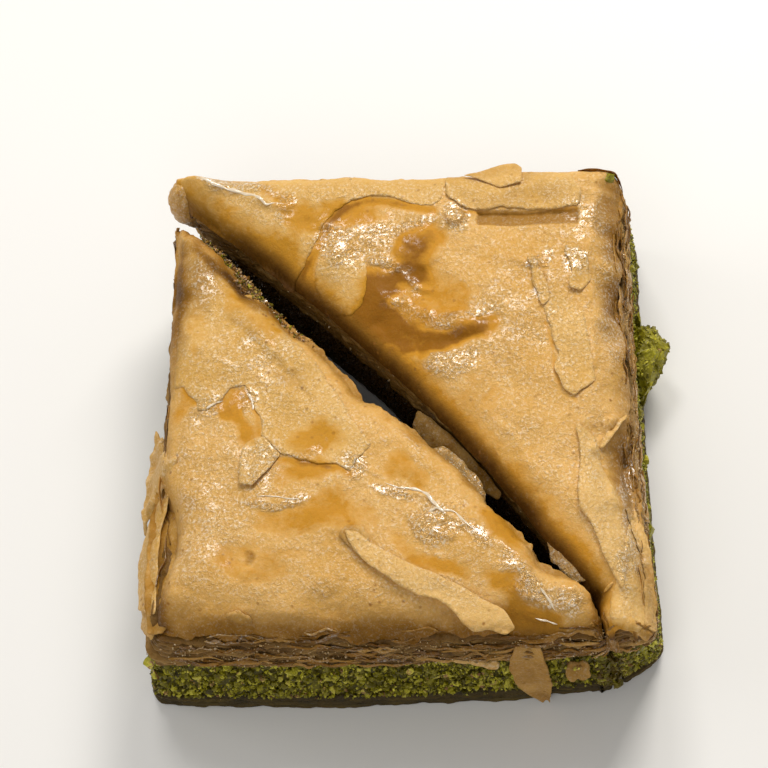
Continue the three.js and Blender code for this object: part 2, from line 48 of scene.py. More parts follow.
# Every corner has its place on the rim and at the tray. Each list after them holds one value for
# the side that starts at that corner: how far in the crust rolls over, how far it falls, how much
# the side bows in, how ragged its rim is, how brown and how soaked it is, how far it lies in the cut
# and how many torn strips cling to it. The brown is partly browning and partly painted shade where a
# roll-over turns from the light, darkest in the cut between the slices.
backPlan = {
    "middle": (15.5, 12.0),
    "rim": [(-27.0, 27.9), (23.9, -24.7), (25.2, -29.3), (30.5, -29.7), (27.2, 30.0), (-27.6, 30.5)],
    "foot": [(-25.0, 28.0), (25.3, -24.7), (26.4, -28.6), (31.2, -25.2), (28.8, 31.0), (-26.6, 29.8)],
    "round": [1.6, 1.4, 0.8, 1.6, 2.4, 1.8],
    "roll": [6, 3, 2.5, 6, 3, 1.6],
    "drop": [3.6, 3, 3.2, 4.4, 2.2, 1.6],
    "pleat": [0.06, 0.1, 0.15, 0.42, 0.12, 0],
    "bowFoot": [2.6, 0, 0, 0.5, 0, 0],
    "bowRim": [3, 0, 0, 0.7, 0.4, 0],
    "scallop": [0.3, 0.4, 0.4, 1.5, 0.5, 0.2],
    "ragged": [0.14, 0.4, 0.5, 0.6, 0.35, 0.2],
    "brown": [0.98, 0.25, 0.10, 0.42, 0.16, 0.0],
    "soak": [0.5, 0.1, 0.0, 0.0, 0.0, 0.2],
    "pressed": [0.6, 0.4, 0.3, 0.08, 0.3, 0.1],
    # amber beside a sheet's edge, part syrup stain and part painted shadow under the edge: line, half width,
    # strength
    "stainsAndShadows": [([(-12.0, 15.2), (-10.6, 17.0), (-9.3, 19.0), (-8.5, 21.0), (-7.3, 23.3), (-5.8, 25.1),
                 (-3.5, 26.0), (-0.7, 25.7), (1.1, 25.2), (3.0, 24.5), (4.8, 24.0)], 0.55, 0.75),
               ([(8.6, 23.9), (15, 23.6), (22.2, 23.9)], 0.3, 0.5),
               ([(17.6, 13.0), (18.2, 9.4), (19.2, 6.0), (19.6, 3.2), (20.4, -0.8), (22, -1.6)], 0.3, 0.35)],
    "cut": [1, 0.9, 0.25, 0, 0, 0.2],
    "tatters": [0, 2, 4, 90, 0, 0],
    # where the foil-like surface glitters, glossier and with painted highlights and painted shade in
    # its colour: middle, length, width, turn, strength
    "glints": [(-7.2, 21.6, 2.2, 2.4, -20, 1.0), (-5.6, 18.6, 1.6, 1.2, 0, 0.7), (-1.5, 20.5, 6, 4, 0, 0.35),
               (0.2, 17.3, 2.6, 0.9, -20, 1.0), (2.4, 14.6, 1.9, 0.9, -50, 1.0), (3.0, 11.0, 5, 1.8, -25, 0.8),
               (8.5, 9.2, 4, 1.6, -10, 0.5), (7.6, 3.6, 3.2, 1.3, 0, 0.9), (7.8, 23.2, 1.9, 1.9, 0, 0.8),
               (1.5, 22.4, 3.4, 0.8, 0, 0.8), (-19, 27.9, 6.5, 0.9, -18, 0.9), (-12.8, 24.6, 1.4, 2.2, 0, 0.8),
               (17.4, 16.4, 1.8, 0.9, 0, 1.0), (21.8, 15.8, 1.6, 1.4, 0, 0.6), (14, 10, 8, 6, 0, 0.2),
               (22.6, 22.4, 2.6, 2.6, 0, 0.3), (26.4, 12, 1.6, 14, 4, 0.6), (27.6, -9, 1.5, 5, 0, 0.6),
               (28.2, -19, 1.2, 8, 4, 0.6), (26.2, -8.5, 1.8, 4, 0, 0.4)],
    # broad rises of the crust, then bites out of its rim: middle, radius, height or depth
    "swells": [(17, 12, 9, 0.7), (2.5, 10.5, 5.5, -0.6), (-14.5, 25.5, 7, 0.8), (8, 22, 5, 0.4),
               (-24.6, 29.4, 3.4, 1.7), (16, 24, 5, -0.5), (26.2, -7.8, 3.0, -1.4), (21.5, -16, 6, 0.5),
               (7.5, 22.8, 1.5, 0.35), (25.2, 21, 2.4, -0.7), (26.2, 13.6, 2.2, -0.6), (25.9, 7.3, 1.8, -0.5)],
    "dents": [(28.5, -7.5, 3, 1), (27.6, 12, 2.2, 0.7), (28.0, 21, 2, 0.5), (28.6, -19, 2.5, 0.4),
              (18.4, -17.4, 2.6, -0.6)],
    # flat-topped blisters: middle, radius, height
    "blisters": [(3.2, 19.0, 3.3, 0.34), (13.5, 17.5, 1.0, 0.12), (10.5, 2.0, 1.3, 0.12), (7.6, 22.9, 1.25, 0.5),
                 (7.5, 23.0, 0.6, -0.3)],
    # wrinkles, each along a line: points, half width, height
    "wrinkles": [
        ([(-25.4, 29.8), (-22, 28.6), (-19, 27.3), (-15.4, 25.5), (-13.2, 25.2)], 0.55, 0.6),
        ([(-2.5, 18.0), (-1.5, 17.7), (0.7, 16.9), (1.4, 15.2), (2.9, 14.2), (4.4, 13.6)], 0.45, 0.32),
        ([(-1, 12.8), (1.5, 11.8), (4, 10.6), (6.9, 8.9), (9.4, 8.4)], 1.1, 0.42),
        ([(-1.5, 9.6), (1, 7.4), (4.1, 6.2), (7.6, 6.3), (10, 7)], 0.9, -0.5),
        ([(3.6, 4.4), (6.3, 3.3), (8.6, 3.9), (11, 3)], 0.9, 0.28),
        ([(-7.6, 22.4), (-6.4, 19.4), (-6.6, 18.6)], 1.0, 0.3),
        ([(14.8, 17.2), (16.9, 16.2), (18.0, 16.4), (19.6, 15.4)], 0.4, 0.3),
        ([(11, -2), (15, -6), (18, -11)], 0.6, 0.16),
        ([(24.4, -7.6), (25.2, -6.4), (26.2, -4.7), (27.9, -2.9)], 0.65, 1.0),
        ([(26.0, -5.6), (26.6, -8.6), (27.3, -12.6)], 0.35, 0.35),
        ([(27.4, -4.6), (27.7, -8.4), (28.3, -12)], 0.3, 0.3),
        ([(25.2, -8.2), (25.9, -11), (26.9, -14.6)], 0.4, 0.3),
        ([(25.6, -11.7), (27.2, -15.9), (28.1, -21.0), (28.3, -28.6)], 0.35, 0.38),
        ([(26.8, -13.5), (29.1, -18.3), (30.0, -22.0), (30.2, -27.3)], 0.3, 0.34),
        ([(26.8, -16.0), (27.2, -21), (27.0, -27.5)], 0.3, 0.22),
        ([(28.4, -17), (29.0, -22), (29.2, -28)], 0.25, 0.28),
        ([(23.6, 17), (24.4, 9), (24.2, 3)], 0.5, 0.32),
        ([(24.8, 27.6), (24.2, 23), (23.9, 18.5)], 0.6, 0.4),
    ],
    # where a sheet has come away: middle, length, width, turn, depth
    "recesses": [(16.3, 22.9, 12.2, 2.1, -1, 0.5)],
    # syrup that lies on the crust: middle, length, width, turn, strength
    "syrup": [(3.2, 19.2, 3.5, 3.0, 0, 1.15), (1.0, 16.2, 2.1, 1.5, -25, 1.1), (3.2, 15.8, 1.4, 1.2, 0, 1.0),
              (-2.0, 13.8, 2.2, 3.2, 0, 1.5), (-2.2, 9.6, 3.0, 2.8, -45, 1.7), (5.6, 6.4, 4.6, 1.5, 3, 1.7),
              (1.0, 8.3, 3.0, 1.9, -30, 1.4), (10.4, 7.6, 2.4, 1.4, 0, 0.9), (4.5, 12.0, 6.0, 4.5, -20, 0.5),
              (-12, 24.8, 5.5, 1.8, -30, 0.4), (-4.8, 24.8, 3.6, 1.6, 0, 0.65), (12.0, 0.0, 4, 2, -40, 0.2),
              (0, 4, 10, 2.4, -45, 0.45), (-12, 20, 4, 6, -40, 0.3), (27.0, -29.2, 2.6, 1.2, 0, 0.4)],
    # browner spots, those in the dips of the back slice's right side being painted shade, and paler where
    # below nought: middle, length, width, turn, strength
    "toast": [(26.4, -8.4, 2.6, 3.0, 0, 0.1), (25.3, 21, 1.5, 4.0, -5, 0.2), (26.2, 12, 1.3, 5.0, -4, 0.2),
              (-23.0, 26.2, 6.0, 3.2, -45, -0.35), (24.6, -17, 3.0, 8.0, 20, -0.25),
              (12.2, 14.4, 0.7, 0.5, 0, 0.35),
              (7.6, 9.9, 0.7, 0.6, 0, 0.35), (16, 25.5, 6, 1.5, 0, 0.12), (25.8, 27.5, 2.4, 2.2, 0, 0.2),
              (-23.6, 29.6, 3.4, 1.6, -15, 0.12)],
}
frontPlan = {
    "middle": (-10.8, -12.4),
    "rim": [(-27.5, -28.8), (24.7, -29.1), (23.9, -25.9), (-25.1, 23.5), (-27.4, 25.4)],
    "foot": [(-30.7, -30.6), (25.4, -29.2), (23.4, -27.2), (-26.6, 22.6), (-28.6, 25.0)],
    "round": [3, 1, 1.6, 0.9, 0.7],
    "roll": [7, 2.2, 3.6, 2.4, 4.2],
    "drop": [4.6, 3.2, 2.6, 3.2, 3.4],
    "pleat": [0.10, 0.1, 0.2, 0.1, 0.2],
    "bowFoot": [-0.9, 0, -0.3, 0, -0.3],
    "bowRim": [0, 0, -0.3, 0, 0.8],
    "scallop": [0.9, 0.3, 1.2, 0.4, 0.7],
    "ragged": [0.55, 0.5, 0.7, 0.35, 0.3],
    "brown": [0.48, 0.2, 0.40, 0.4, 0.26],
    "soak": [0.0, 0.1, 0.22, 0.1, 0.0],
    "pressed": [0.36, 0.4, 0.5, 0.4, 0.3],
    "stainsAndShadows": [([(-24.2, 1.3), (-22.9, -0.7), (-20.4, -1.4), (-18.8, 0.8), (-16.6, 0.7), (-15.2, -2.6),
                 (-14.8, -5.0), (-13.4, -7.0), (-12.3, -8.3), (-9.6, -8.9), (-5.0, -9.7), (-3.8, -10.5)],
                0.4, 0.45)],
    "cut": [0, 0.6, 1, 0.5, 0],
    "tatters": [110, 3, 0, 8, 14],
    "glints": [(21.4, -25.8, 2.4, 2.0, -40, 0.6), (-20, -12, 6, 7, 0, 0.2), (-14.5, -8.8, 2.4, 3.2, 0, 0.25),
               (-22, -1.5, 3.5, 3, 0, 0.25), (5.5, -16.4, 2.8, 1.3, -25, 1.1), (1.4, -12.6, 2.6, 0.7, -12, 0.9),
               (6.5, -14.8, 2.0, 1.2, -40, 0.8),
               (10, -17.6, 2.4, 0.9, -45, 0.9), (-12.4, -13.8, 3.6, 0.6, 0, 0.9), (-16.2, -0.6, 1.0, 1.8, 20, 0.9),
               (-20.2, -1.4, 1.6, 0.8, 40, 0.8), (-3.4, -9.4, 1.4, 1.6, 0, 0.9), (-9.5, -8.0, 2.4, 0.8, 0, 0.6),
               (17.2, -24.6, 2.4, 1.4, -40, 0.8), (15, -21.5, 2.6, 1.4, -45, 0.6), (-15, 6, 6, 7, 45, 0.2),
               (-22.5, 16, 2.2, 5, 10, 0.3), (2.5, -5.2, 2.4, 0.8, -35, 0.6), (-21, -20, 4, 6, 0, 0.15)],
    "swells": [(-12, -14, 9, 0.6), (-4, -3, 5, -0.4), (9, -20, 5, 0.5), (-22.5, 6, 4.5, 0.6),
               (-26, -15, 3.2, -1), (17.5, -27, 4, -0.5), (-21, -24, 3, 0.3)],
    "dents": [(-3.5, -0.2, 4, 1.3), (9.0, -10.0, 3, -0.5), (18.0, -21.4, 2.4, 1.7), (22.4, -24.2, 1.5, -0.5),
              (-26.9, -18.6, 6.4, 2.9), (-27.2, -27.0, 3.4, 1.0), (-27.5, 1.0, 2, 0.6), (-17.8, 15.6, 3.2, 1.6),
              (-11.6, 10.0, 2.4, 1.2), (14.8, -17.8, 1.8, 0.4)],
    "blisters": [(-15.3, -22.4, 1.0, 0.16), (-6.5, -24.0, 1.4, 0.14), (10.3, -15.4, 1.2, 0.14)],
    "wrinkles": [
        ([(0.2, -11.9), (1.6, -12.6), (4, -12.8), (5.7, -13.5), (6.1, -14.6), (7.4, -15.7), (8.8, -16.4),
          (11, -18.6)], 0.3, 0.3),
        ([(3.8, -17.0), (5.4, -15.6), (6.8, -16.4), (5.8, -17.4), (7.6, -18.6)], 0.5, 0.3),
        ([(-15.5, -13.5), (-13.2, -13.7), (-11.3, -14), (-9.3, -13.9)], 0.35, 0.2),
        ([(-3.4, -8.6), (-2.2, -9.8), (-0.6, -10.4)], 0.35, 0.3),
        ([(-25.5, 13), (-23.5, 16.5), (-23, 20)], 0.7, 0.3),
        ([(-17.6, 10), (-14, 6.5), (-11.8, 3.6)], 0.8, 0.3),
        ([(-13.6, 4.6), (-11, 1.8), (-9.6, -0.6)], 0.7, -0.3),
        ([(0.8, -6.9), (4.6, -9.6), (7.4, -13)], 0.8, -0.28),
        ([(13.6, -19.2), (16.4, -22), (17.4, -24.8)], 0.5, 0.3),
        ([(15.2, -24.6), (17.6, -25.8), (19.6, -27.4)], 0.4, 0.28),
        ([(-22, -27), (-12, -26.8), (-3, -27.4)], 0.5, 0.22),
        ([(-24.2, -22), (-23.2, -17), (-23.6, -12)], 0.7, 0.25),
    ],
    "recesses": [],
    "syrup": [(-8.2, -6.0, 4.6, 2.3, 0, 0.64), (-9.6, -10.0, 4.0, 1.6, -5, 0.58), (-5.0, -15.6, 3.8, 2.4, 0, 0.5),
              (-11.5, -15.9, 4.2, 2.0, 0, 0.4), (4.2, -20.2, 4.0, 1.5, -25, 0.44),
              (8.4, -21.4, 2.4, 1.2, -25, 0.5),
              (-15.3, -21.4, 6, 2.6, 5, 0.3), (16.8, -27.2, 3.4, 1.5, -10, 0.95), (-17.9, -1.6, 1.9, 1.6, 40, 0.8),
              (-16.6, -4.8, 1.0, 2.2, 10, 0.6), (-18.6, 13.4, 4.5, 1.5, -45, 0.45),
              (-24.6, -1.4, 1.6, 2.6, 0, 0.4),
              (-14.2, 8.4, 3, 1.0, -50, 0.5), (2.6, -9.4, 3.6, 1.6, -35, 0.45), (13, -17, 4, 1.5, -50, 0.5),
              (-23.4, 9, 1.4, 6, 0, 0.25), (14.5, -23.4, 3, 1.6, -30, 0.5)],
    "toast": [(-14, -28.6, 12, 0.9, 0, 0.14), (10, -28.8, 11, 0.8, 0, 0.14), (21.8, -26.0, 2.6, 2.2, 0, -0.3),
              (-23.0, -17, 1.1, 5.5, 0, 0.2), (-17.2, 14.2, 0.9, 5.5, 43, 0.5),
              (-23.8, 17, 3.0, 6.0, -10, 0.42), (-25.8, 12, 1.2, 9.0, 0, 0.34),
              (-11.6, 2.2, 1.7, 2.6, 45, 0.25), (-17.6, 10.4, 1.4, 4.0, 45, 0.25), (-21, 18.6, 0.8, 5.0, 42, 0.4),
              (-14.9, -20.7, 0.7, 0.6, 0, 0.45), (-26.6, -26.0, 1.4, 2.4, 0, 0.2), (1.0, -28.2, 7, 1.2, 0, 0.15),
              (-3.9, -18.6, 1.8, 1.5, -40, 0.25), (-25.2, 22.0, 1.6, 1.6, 0, 0.2)],
}


def cellValue(cell, seed):                          # the same value each time for a cell, -1 to 1
    x, y, z = cell[..., 0], cell[..., 1], cell[..., 2]
    n = (x * 374761393 + y * 668265263 + z * 1440662683 + seed * 974634777) & 0xFFFFFFFF
    n = ((n ^ (n >> 13)) * 1274126177) & 0xFFFFFFFF
    n = ((n ^ (n >> 16)) * 2246822519) & 0xFFFFFFFF
    return ((n >> 8) & 0xFFFF) / 32767.5 - 1


def grain(points, size, seed=0, octaves=2):         # smooth unevenness, -1 to 1, size in mm
    points = np.atleast_2d(points).astype(float)
    if points.shape[1] == 2:
        points = np.c_[points, np.zeros(len(points))]
    total, weight, reach = np.zeros(len(points)), 1.0, 0.0
    for octave in range(octaves):
        place = points / size * 2 ** octave + 17.3 * octave
        cell = np.floor(place).astype(np.int64)
        share = place - cell
        share = share * share * (3 - 2 * share)
        value = np.zeros(len(points))
        for corner in range(8):
            step = np.array([corner & 1, corner >> 1 & 1, corner >> 2])
            part = np.where(step, share, 1 - share).prod(1)
            value += part * cellValue(cell + step, seed + 31 * octave)
        total += weight * value
        reach += weight
        weight *= 0.5
    return total / reach


def smooth(value, low=0.0, high=1.0):               # 0 below low, 1 above high
    share = np.clip((value - low) / (high - low), 0, 1)
    return share * share * (3 - 2 * share)


def hills(spots, points):                           # round rises added up: middle, radius, height
    total = np.zeros(len(points))
    for x, y, radius, rise in spots:
        total += rise * np.exp(-((points - (x, y)) ** 2).sum(1) / radius ** 2)
    return total


def curved(a, b, c, t):                             # an arc from a to c that is pulled towards b
    t = t[:, None]
    return (1 - t) ** 2 * a + 2 * t * (1 - t) * b + t ** 2 * c


def sideCounts(plan, pitch):                        # from the rim, so every ring of a slice matches
    rim = np.array(plan["rim"])
    return [max(3, round(length / pitch)) for length in np.linalg.norm(np.roll(rim, -1, 0) - rim, axis=1)]


# Steps of a ring: mm along a side, points round a corner
crustGrid, sideGrid, coreGrid, bandGrid, footGrid = (0.25, 12), (0.3, 10), (0.5, 8), (0.34, 9), (0.4, 10)


def sideStarts(plan, pitch, arc):                   # where each side begins in a ring
    return np.cumsum([0] + [count + arc for count in sideCounts(plan, pitch)])


def planRing(plan, share, pitch, arc):              # share is the height over the crown's, 0 at the tray
    rim, foot = np.array(plan["rim"]), np.array(plan["foot"])
    corners = foot + (rim - foot) * share
    before, after = np.roll(corners, 1, 0), np.roll(corners, -1, 0)
    rounding = np.array(plan["round"])

    def towards(other):
        length = np.linalg.norm(other - corners, axis=1)
        return corners + (other - corners) * np.minimum(0.45, rounding / length)[:, None]

    arrive, leave = towards(before), towards(after)
    pieces = []
    for i, count in enumerate(sideCounts(plan, pitch)):
        j = (i + 1) % len(corners)
        side = arrive[j] - leave[i]
        left = np.array([-side[1], side[0]]) / np.linalg.norm(side)
        bow = plan["bowFoot"][i] + (plan["bowRim"][i] - plan["bowFoot"][i]) * share
        pull = (leave[i] + arrive[j]) / 2 + left * 2 * bow
        pieces.append(curved(leave[i], pull, arrive[j], np.arange(count) / count))
        pieces.append(curved(arrive[j], corners[j], leave[j], np.arange(arc) / arc))
    ring = np.concatenate(pieces)
    away = ring - plan["middle"]
    inward = share ** 3 * hills(plan["dents"], ring)    # dents fade towards the foot
    return ring - away / np.linalg.norm(away, axis=1)[:, None] * inward[:, None]


def bySide(plan, label, pitch, arc):                # a side's own value at each point of a ring
    values, spread = plan[label], []
    for i, count in enumerate(sideCounts(plan, pitch)):
        after = values[(i + 1) % len(values)]
        spread += [values[i]] * count + [(values[i] + after) / 2] * arc
    soft = np.array(spread, float)
    for _ in range(12):
        soft = (np.roll(soft, 1) + soft + np.roll(soft, -1)) / 3
    return soft


def outward(ring):                                  # the way out at each point of a ring
    along = np.roll(ring, -1, 0) - np.roll(ring, 1, 0)
    along /= np.linalg.norm(along, axis=1)[:, None] + 1e-9
    return np.c_[along[:, 1], -along[:, 0]]


def insideRing(ring, points):                       # which points an outline holds
    inside = np.zeros(len(points), bool)
    x, y = points[:, 0], points[:, 1]
    for (ax, ay), (bx, by) in zip(ring, np.roll(ring, -1, 0)):
        crosses = (ay > y) != (by > y)
        if crosses.any():
            inside ^= crosses & (x < (bx - ax) * (y - ay) / (by - ay + 1e-12) + ax)
    return inside


def segmentDistance(points, a, b):
    a, side = np.array(a, float), np.array(b, float) - np.array(a, float)
    along = np.clip((points - a) @ side / (side @ side + 1e-12), 0, 1)
    return np.linalg.norm(points - a - along[:, None] * side, axis=1), along


def lineDistance(points, line, closed=False):
    ends = list(line[1:]) + ([line[0]] if closed else [])
    best = np.full(len(points), 1e9)
    for a, b in zip(line, ends):
        best = np.minimum(best, segmentDistance(points, a, b)[0])
    return best


def ripple(x, y):                                   # broad waves over the whole crust, -1 to 1
    broad = np.sin(0.31 * x + 1.3) * np.cos(0.27 * y)
    fine = np.sin(0.83 * x - 0.61 * y) + np.cos(0.57 * x + 0.94 * y)
    return 0.5 * broad + 0.25 * fine


def sideReach(plan, points):                        # per side: 1 at its rim, 0 where its roll-over begins
    rim, reach = np.array(plan["rim"], float), []
    beyond, dented = ~insideRing(rim, points), hills(plan["dents"], points)
    for i, roll in enumerate(plan["roll"]):
        a, b = rim[i], rim[(i + 1) % len(rim)]
        away, along = segmentDistance(points, a, b)
        past = beyond & ((b - a)[0] * (points[:, 1] - a[1]) < (b - a)[1] * (points[:, 0] - a[0]))
        depth = np.where(past, -away, away) - 4 * along * (1 - along) * plan["bowRim"][i] - dented
        depth += plan["scallop"][i] * grain(points, 5.2, 60 + i) * smooth(roll - depth, 0, 2)
        reach.append(1 - np.clip(depth / roll, 0, 1))
    return reach


def pleats(plan, points, reach):                    # folds that run down a roll-over, per side
    rim, folds = np.array(plan["rim"], float), []
    for i, depth in enumerate(plan["pleat"]):
        a, b = rim[i], rim[(i + 1) % len(rim)]
        along = (points - a) @ (b - a) / np.linalg.norm(b - a)
        wave = grain(np.c_[along + 0.8 * grain(points, 4, 66), 1.2 * reach[i]], 1.9, 70 + i)
        folds.append(depth * wave * smooth(reach[i], 0.05, 0.75))
    return folds


def turnedInto(points, x, y, turn):                 # along and across a spot that is turned, in degrees
    c, s = math.cos(math.radians(turn)), math.sin(math.radians(turn))
    across, up = points[:, 0] - x, points[:, 1] - y
    return across * c + up * s, -across * s + up * c


# How high the crust's unevenness is and how far it pushes lines aside, in mm
reliefMake = {"ripple": 0.28, "bend": 0.45, "broad": 0.13, "fine": 0.055, "fold": 0.06, "glintRough": 1.6}


def topHeight(plan, points):
    fall, reaches = np.zeros(len(points)), sideReach(plan, points)
    for reach, drop in zip(reaches, plan["drop"]):
        out = np.minimum(reach, 0.999)
        fall += (drop * (1 - np.sqrt(1 - out ** 2))) ** 2
    height = crown - np.sqrt(fall) + reliefMake["ripple"] * ripple(*points.T) + sum(pleats(plan, points, reaches))
    height += hills(plan["swells"], points)
    bent = points + reliefMake["bend"] * np.c_[grain(points, 2.0, 41), grain(points, 2.0, 42)]
    for cx, cy, radius, rise in plan["blisters"]:
        away = np.hypot(bent[:, 0] - cx, bent[:, 1] - cy)
        height += rise * smooth(1 - away / radius, 0, 0.3)
    for line, width, rise in plan["wrinkles"]:
        away = lineDistance(bent, line)
        height += rise * np.exp(-(away / width) ** 2) * (0.75 + 0.5 * grain(points, 2.6, 47))
    for cx, cy, long, wide, turn, depth in plan["recesses"]:
        u, v = turnedInto(points, cx, cy, turn)
        ragged = 0.12 * grain(points, 1.1, 43)
        height -= depth * smooth(long / 2 - np.abs(u) + ragged, -0.1, 0.15) \
            * smooth(wide / 2 - np.abs(v) + ragged, -0.1, 0.12 + 0.5 * (v < 0))
    return height


def crinkle(plan, points, seed):                    # what baking leaves on the upper sheets
    fold = 1 - np.abs(grain(points * (1, 1.5) + 0.5 * grain(points, 2, seed + 5)[:, None], 1.5, seed + 2, 2))
    rough = 1 + reliefMake["glintRough"] * np.clip(spotMask(plan["glints"], points), 0, 1)
    small = reliefMake["fine"] * grain(points, 1.2, seed + 1) + reliefMake["fold"] * fold ** 4
    return reliefMake["broad"] * grain(points, 3.4, seed) + rough * small


def spotMask(spots, points):                        # soft ovals with bent outlines, added up
    total = np.zeros(len(points))
    flat = points[:, :2]
    bent = flat + 0.8 * np.c_[grain(flat, 2.0, 51), grain(flat, 2.0, 52)]
    bent += 1.5 * np.c_[grain(flat, 6.0, 53), grain(flat, 6.0, 54)]
    for x, y, long, wide, turn, strength in spots:
        u, v = turnedInto(bent, x, y, turn)
        total += strength * smooth(1.5 - np.sqrt((u / long) ** 2 + (v / wide) ** 2), 0, 1.2)
    return total


def recessed(plan, points):                         # 1 where a sheet has come away
    inside = np.zeros(len(points))
    for cx, cy, long, wide, turn, _ in plan["recesses"]:
        u, v = turnedInto(points, cx, cy, turn)
        inside += smooth(long / 2 - np.abs(u), -0.15, 0.15) * smooth(wide / 2 - np.abs(v), -0.15, 0.15)
    return inside


# A rim's brown, partly painted shade, begins this far up its roll-over, later in the cut, and is
# stronger in a fold's dip as painted shade; glitter is spread evenly, less at a rim, and bare patches are browner
maskMake = {"brownFrom": 0.35, "cutLater": 0.25, "foldDipShade": 0.9, "soak": (0.3, 0.85), "glint": 0.36,
            "rimDull": 0.30, "dullFrom": (0.3, 0.9), "bareBrown": 0.5, "most": 1.4}


def sheetMasks(plan, points, syrup=0.0, toast=0.0, share=1.0, tone=0.0):
    make, flat = maskMake, points[:, :2]
    reach = sideReach(plan, flat)
    brown = sum(side * smooth(near, make["brownFrom"] + make["cutLater"] * cut, 1.0)
                for side, cut, near in zip(plan["brown"], plan["cut"], reach))
    brown -= make["foldDipShade"] * sum(pleats(plan, flat, reach))
    brown += spotMask(plan["toast"], points) + make["bareBrown"] * recessed(plan, flat) + toast
    soak = sum(side * smooth(near, *make["soak"]) for side, near in zip(plan["soak"], reach))
    wet = spotMask(plan["syrup"], points) * share + syrup + soak
    dull = make["rimDull"] * smooth(np.max(reach, 0), *make["dullFrom"])
    glint = make["glint"] + spotMask(plan["glints"], points) - dull
    return {"syrup": np.clip(wet, 0, make["most"]), "glint": np.clip(glint, 0, make["most"]),
            "tone": np.full(len(points), tone), "toast": np.clip(brown, 0, 1)}


def toFrame(points):
    return (np.asarray(points, float) + squareMiddle) / 1000


def addPiece(name, parts, finish, replaced=(), shade=True):
    # Joins parts, each with its points, its groups of faces and its masks.
    starts = np.cumsum([0] + [len(points) for points, _, _ in parts])
    faces = [face for (_, group, _), start in zip(parts, starts) for some in group
             for face in (some + start).tolist()]
    mesh = bpy.data.meshes.new(name)
    mesh.from_pydata(toFrame(np.concatenate([points for points, _, _ in parts])).tolist(), [], faces)
    for label in parts[0][2]:
        layer = mesh.attributes.new(label, "FLOAT", "POINT")
        layer.data.foreach_set("value", np.concatenate([masks[label] for _, _, masks in parts]).astype(np.float32))
    mesh.polygons.foreach_set("use_smooth", [shade] * len(mesh.polygons))
    mesh.materials.append(finish)
    mesh.update()
    piece = bpy.data.objects.new(name, mesh)
    bpy.context.scene.collection.objects.link(piece)
    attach(piece, "root")
    if replaced:
        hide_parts(*replaced)
    print(f"  {name}: {sum(len(face) - 2 for face in faces)} triangles")


def ringPairs(count):                               # each point of a ring and the one after it
    i = np.arange(count)
    return i, (i + 1) % count


def bandFaces(count, low, high):                    # quads between two rings, given their first points
    i, j = ringPairs(count)
    return np.c_[low + i, low + j, high + j, high + i]


def fanFaces(count, start, tip, under=False):       # triangles from a ring to one point over or under it
    i, j = ringPairs(count)
    return np.c_[start + (j if under else i), start + (i if under else j), np.full(count, tip)]


def loopFaces(count, rings, start=0, wrap=False):   # quads between rings that lie one after another
    pairs = [(r, (r + 1) % rings) for r in range(rings if wrap else rings - 1)]
    return np.concatenate([bandFaces(count, start + a * count, start + b * count) for a, b in pairs])


def evenMasks(toast, syrup, glint, tone=0.0):       # only the toast varies
    even = {"syrup": syrup, "glint": glint, "tone": tone}
    return {"toast": np.clip(toast, 0, 1), **{label: np.full(len(toast), value) for label, value in even.items()}}


latticeMake = {"row": 0.866, "jitter": 0.18, "clear": 0.6}


def filledPlan(ring, pitch, seed=0):
    # The ring's points come first, then a jittered lattice inside it, and triangles join them all.
    make, low, high = latticeMake, ring.min(0), ring.max(0)
    rows = []
    for k, y in enumerate(np.arange(low[1], high[1], pitch * make["row"])):
        x = np.arange(low[0] + pitch / 2 * (k % 2), high[0], pitch)
        rows.append(np.c_[x, np.full(len(x), y)])
    lattice = np.concatenate(rows)
    stray = np.c_[grain(lattice, pitch * 0.7, seed), grain(lattice, pitch * 0.7, seed + 9)]
    lattice += pitch * make["jitter"] * stray
    lattice = lattice[insideRing(ring, lattice)]
    sparse = ring[::2] if len(ring) > 400 else ring
    lattice = lattice[lineDistance(lattice, sparse, True) > pitch * make["clear"]]
    count = len(ring)
    corners = [Vector(p) for p in np.concatenate([ring, lattice])]
    edges = [(i, (i + 1) % count) for i in range(count)]
    points, _, faces, _, _, _ = delaunay_2d_cdt(corners, edges, [], 1, 1e-6)
    flat = np.array([tuple(p) for p in points])
    if len(points) != len(corners):
        print("  an outline crosses itself at", flat[len(corners):].round(1).tolist())
    faces = np.array([face for face in faces if len(face) == 3])
    ab, ac = flat[faces[:, 1]] - flat[faces[:, 0]], flat[faces[:, 2]] - flat[faces[:, 0]]
    turn = ab[:, 0] * ac[:, 1] - ab[:, 1] * ac[:, 0]
    faces[turn < 0] = faces[turn < 0][:, ::-1]
    return flat, faces, count


class Wire:                                         # an output that takes part in sums
    def __init__(self, finish, out):
        self.finish, self.out = finish, out

    def maths(self, operation, a, b, clamp=False):
        return self.finish.node("ShaderNodeMath", {"operation": operation, "use_clamp": clamp}, {0: a, 1: b})

    def __add__(self, other):
        return self.maths("ADD", self, other)

    def __sub__(self, other):
        return self.maths("SUBTRACT", self, other)

    def __rsub__(self, other):
        return self.maths("SUBTRACT", other, self)

    def __mul__(self, other):
        return self.maths("MULTIPLY", self, other)

    __radd__ = __add__
    __rmul__ = __mul__

    def spread(self, low, high):                    # 0 at low, 1 at high
        scale = 1 / (high - low)
        return self.maths("ADD", self * scale, -low * scale, True)


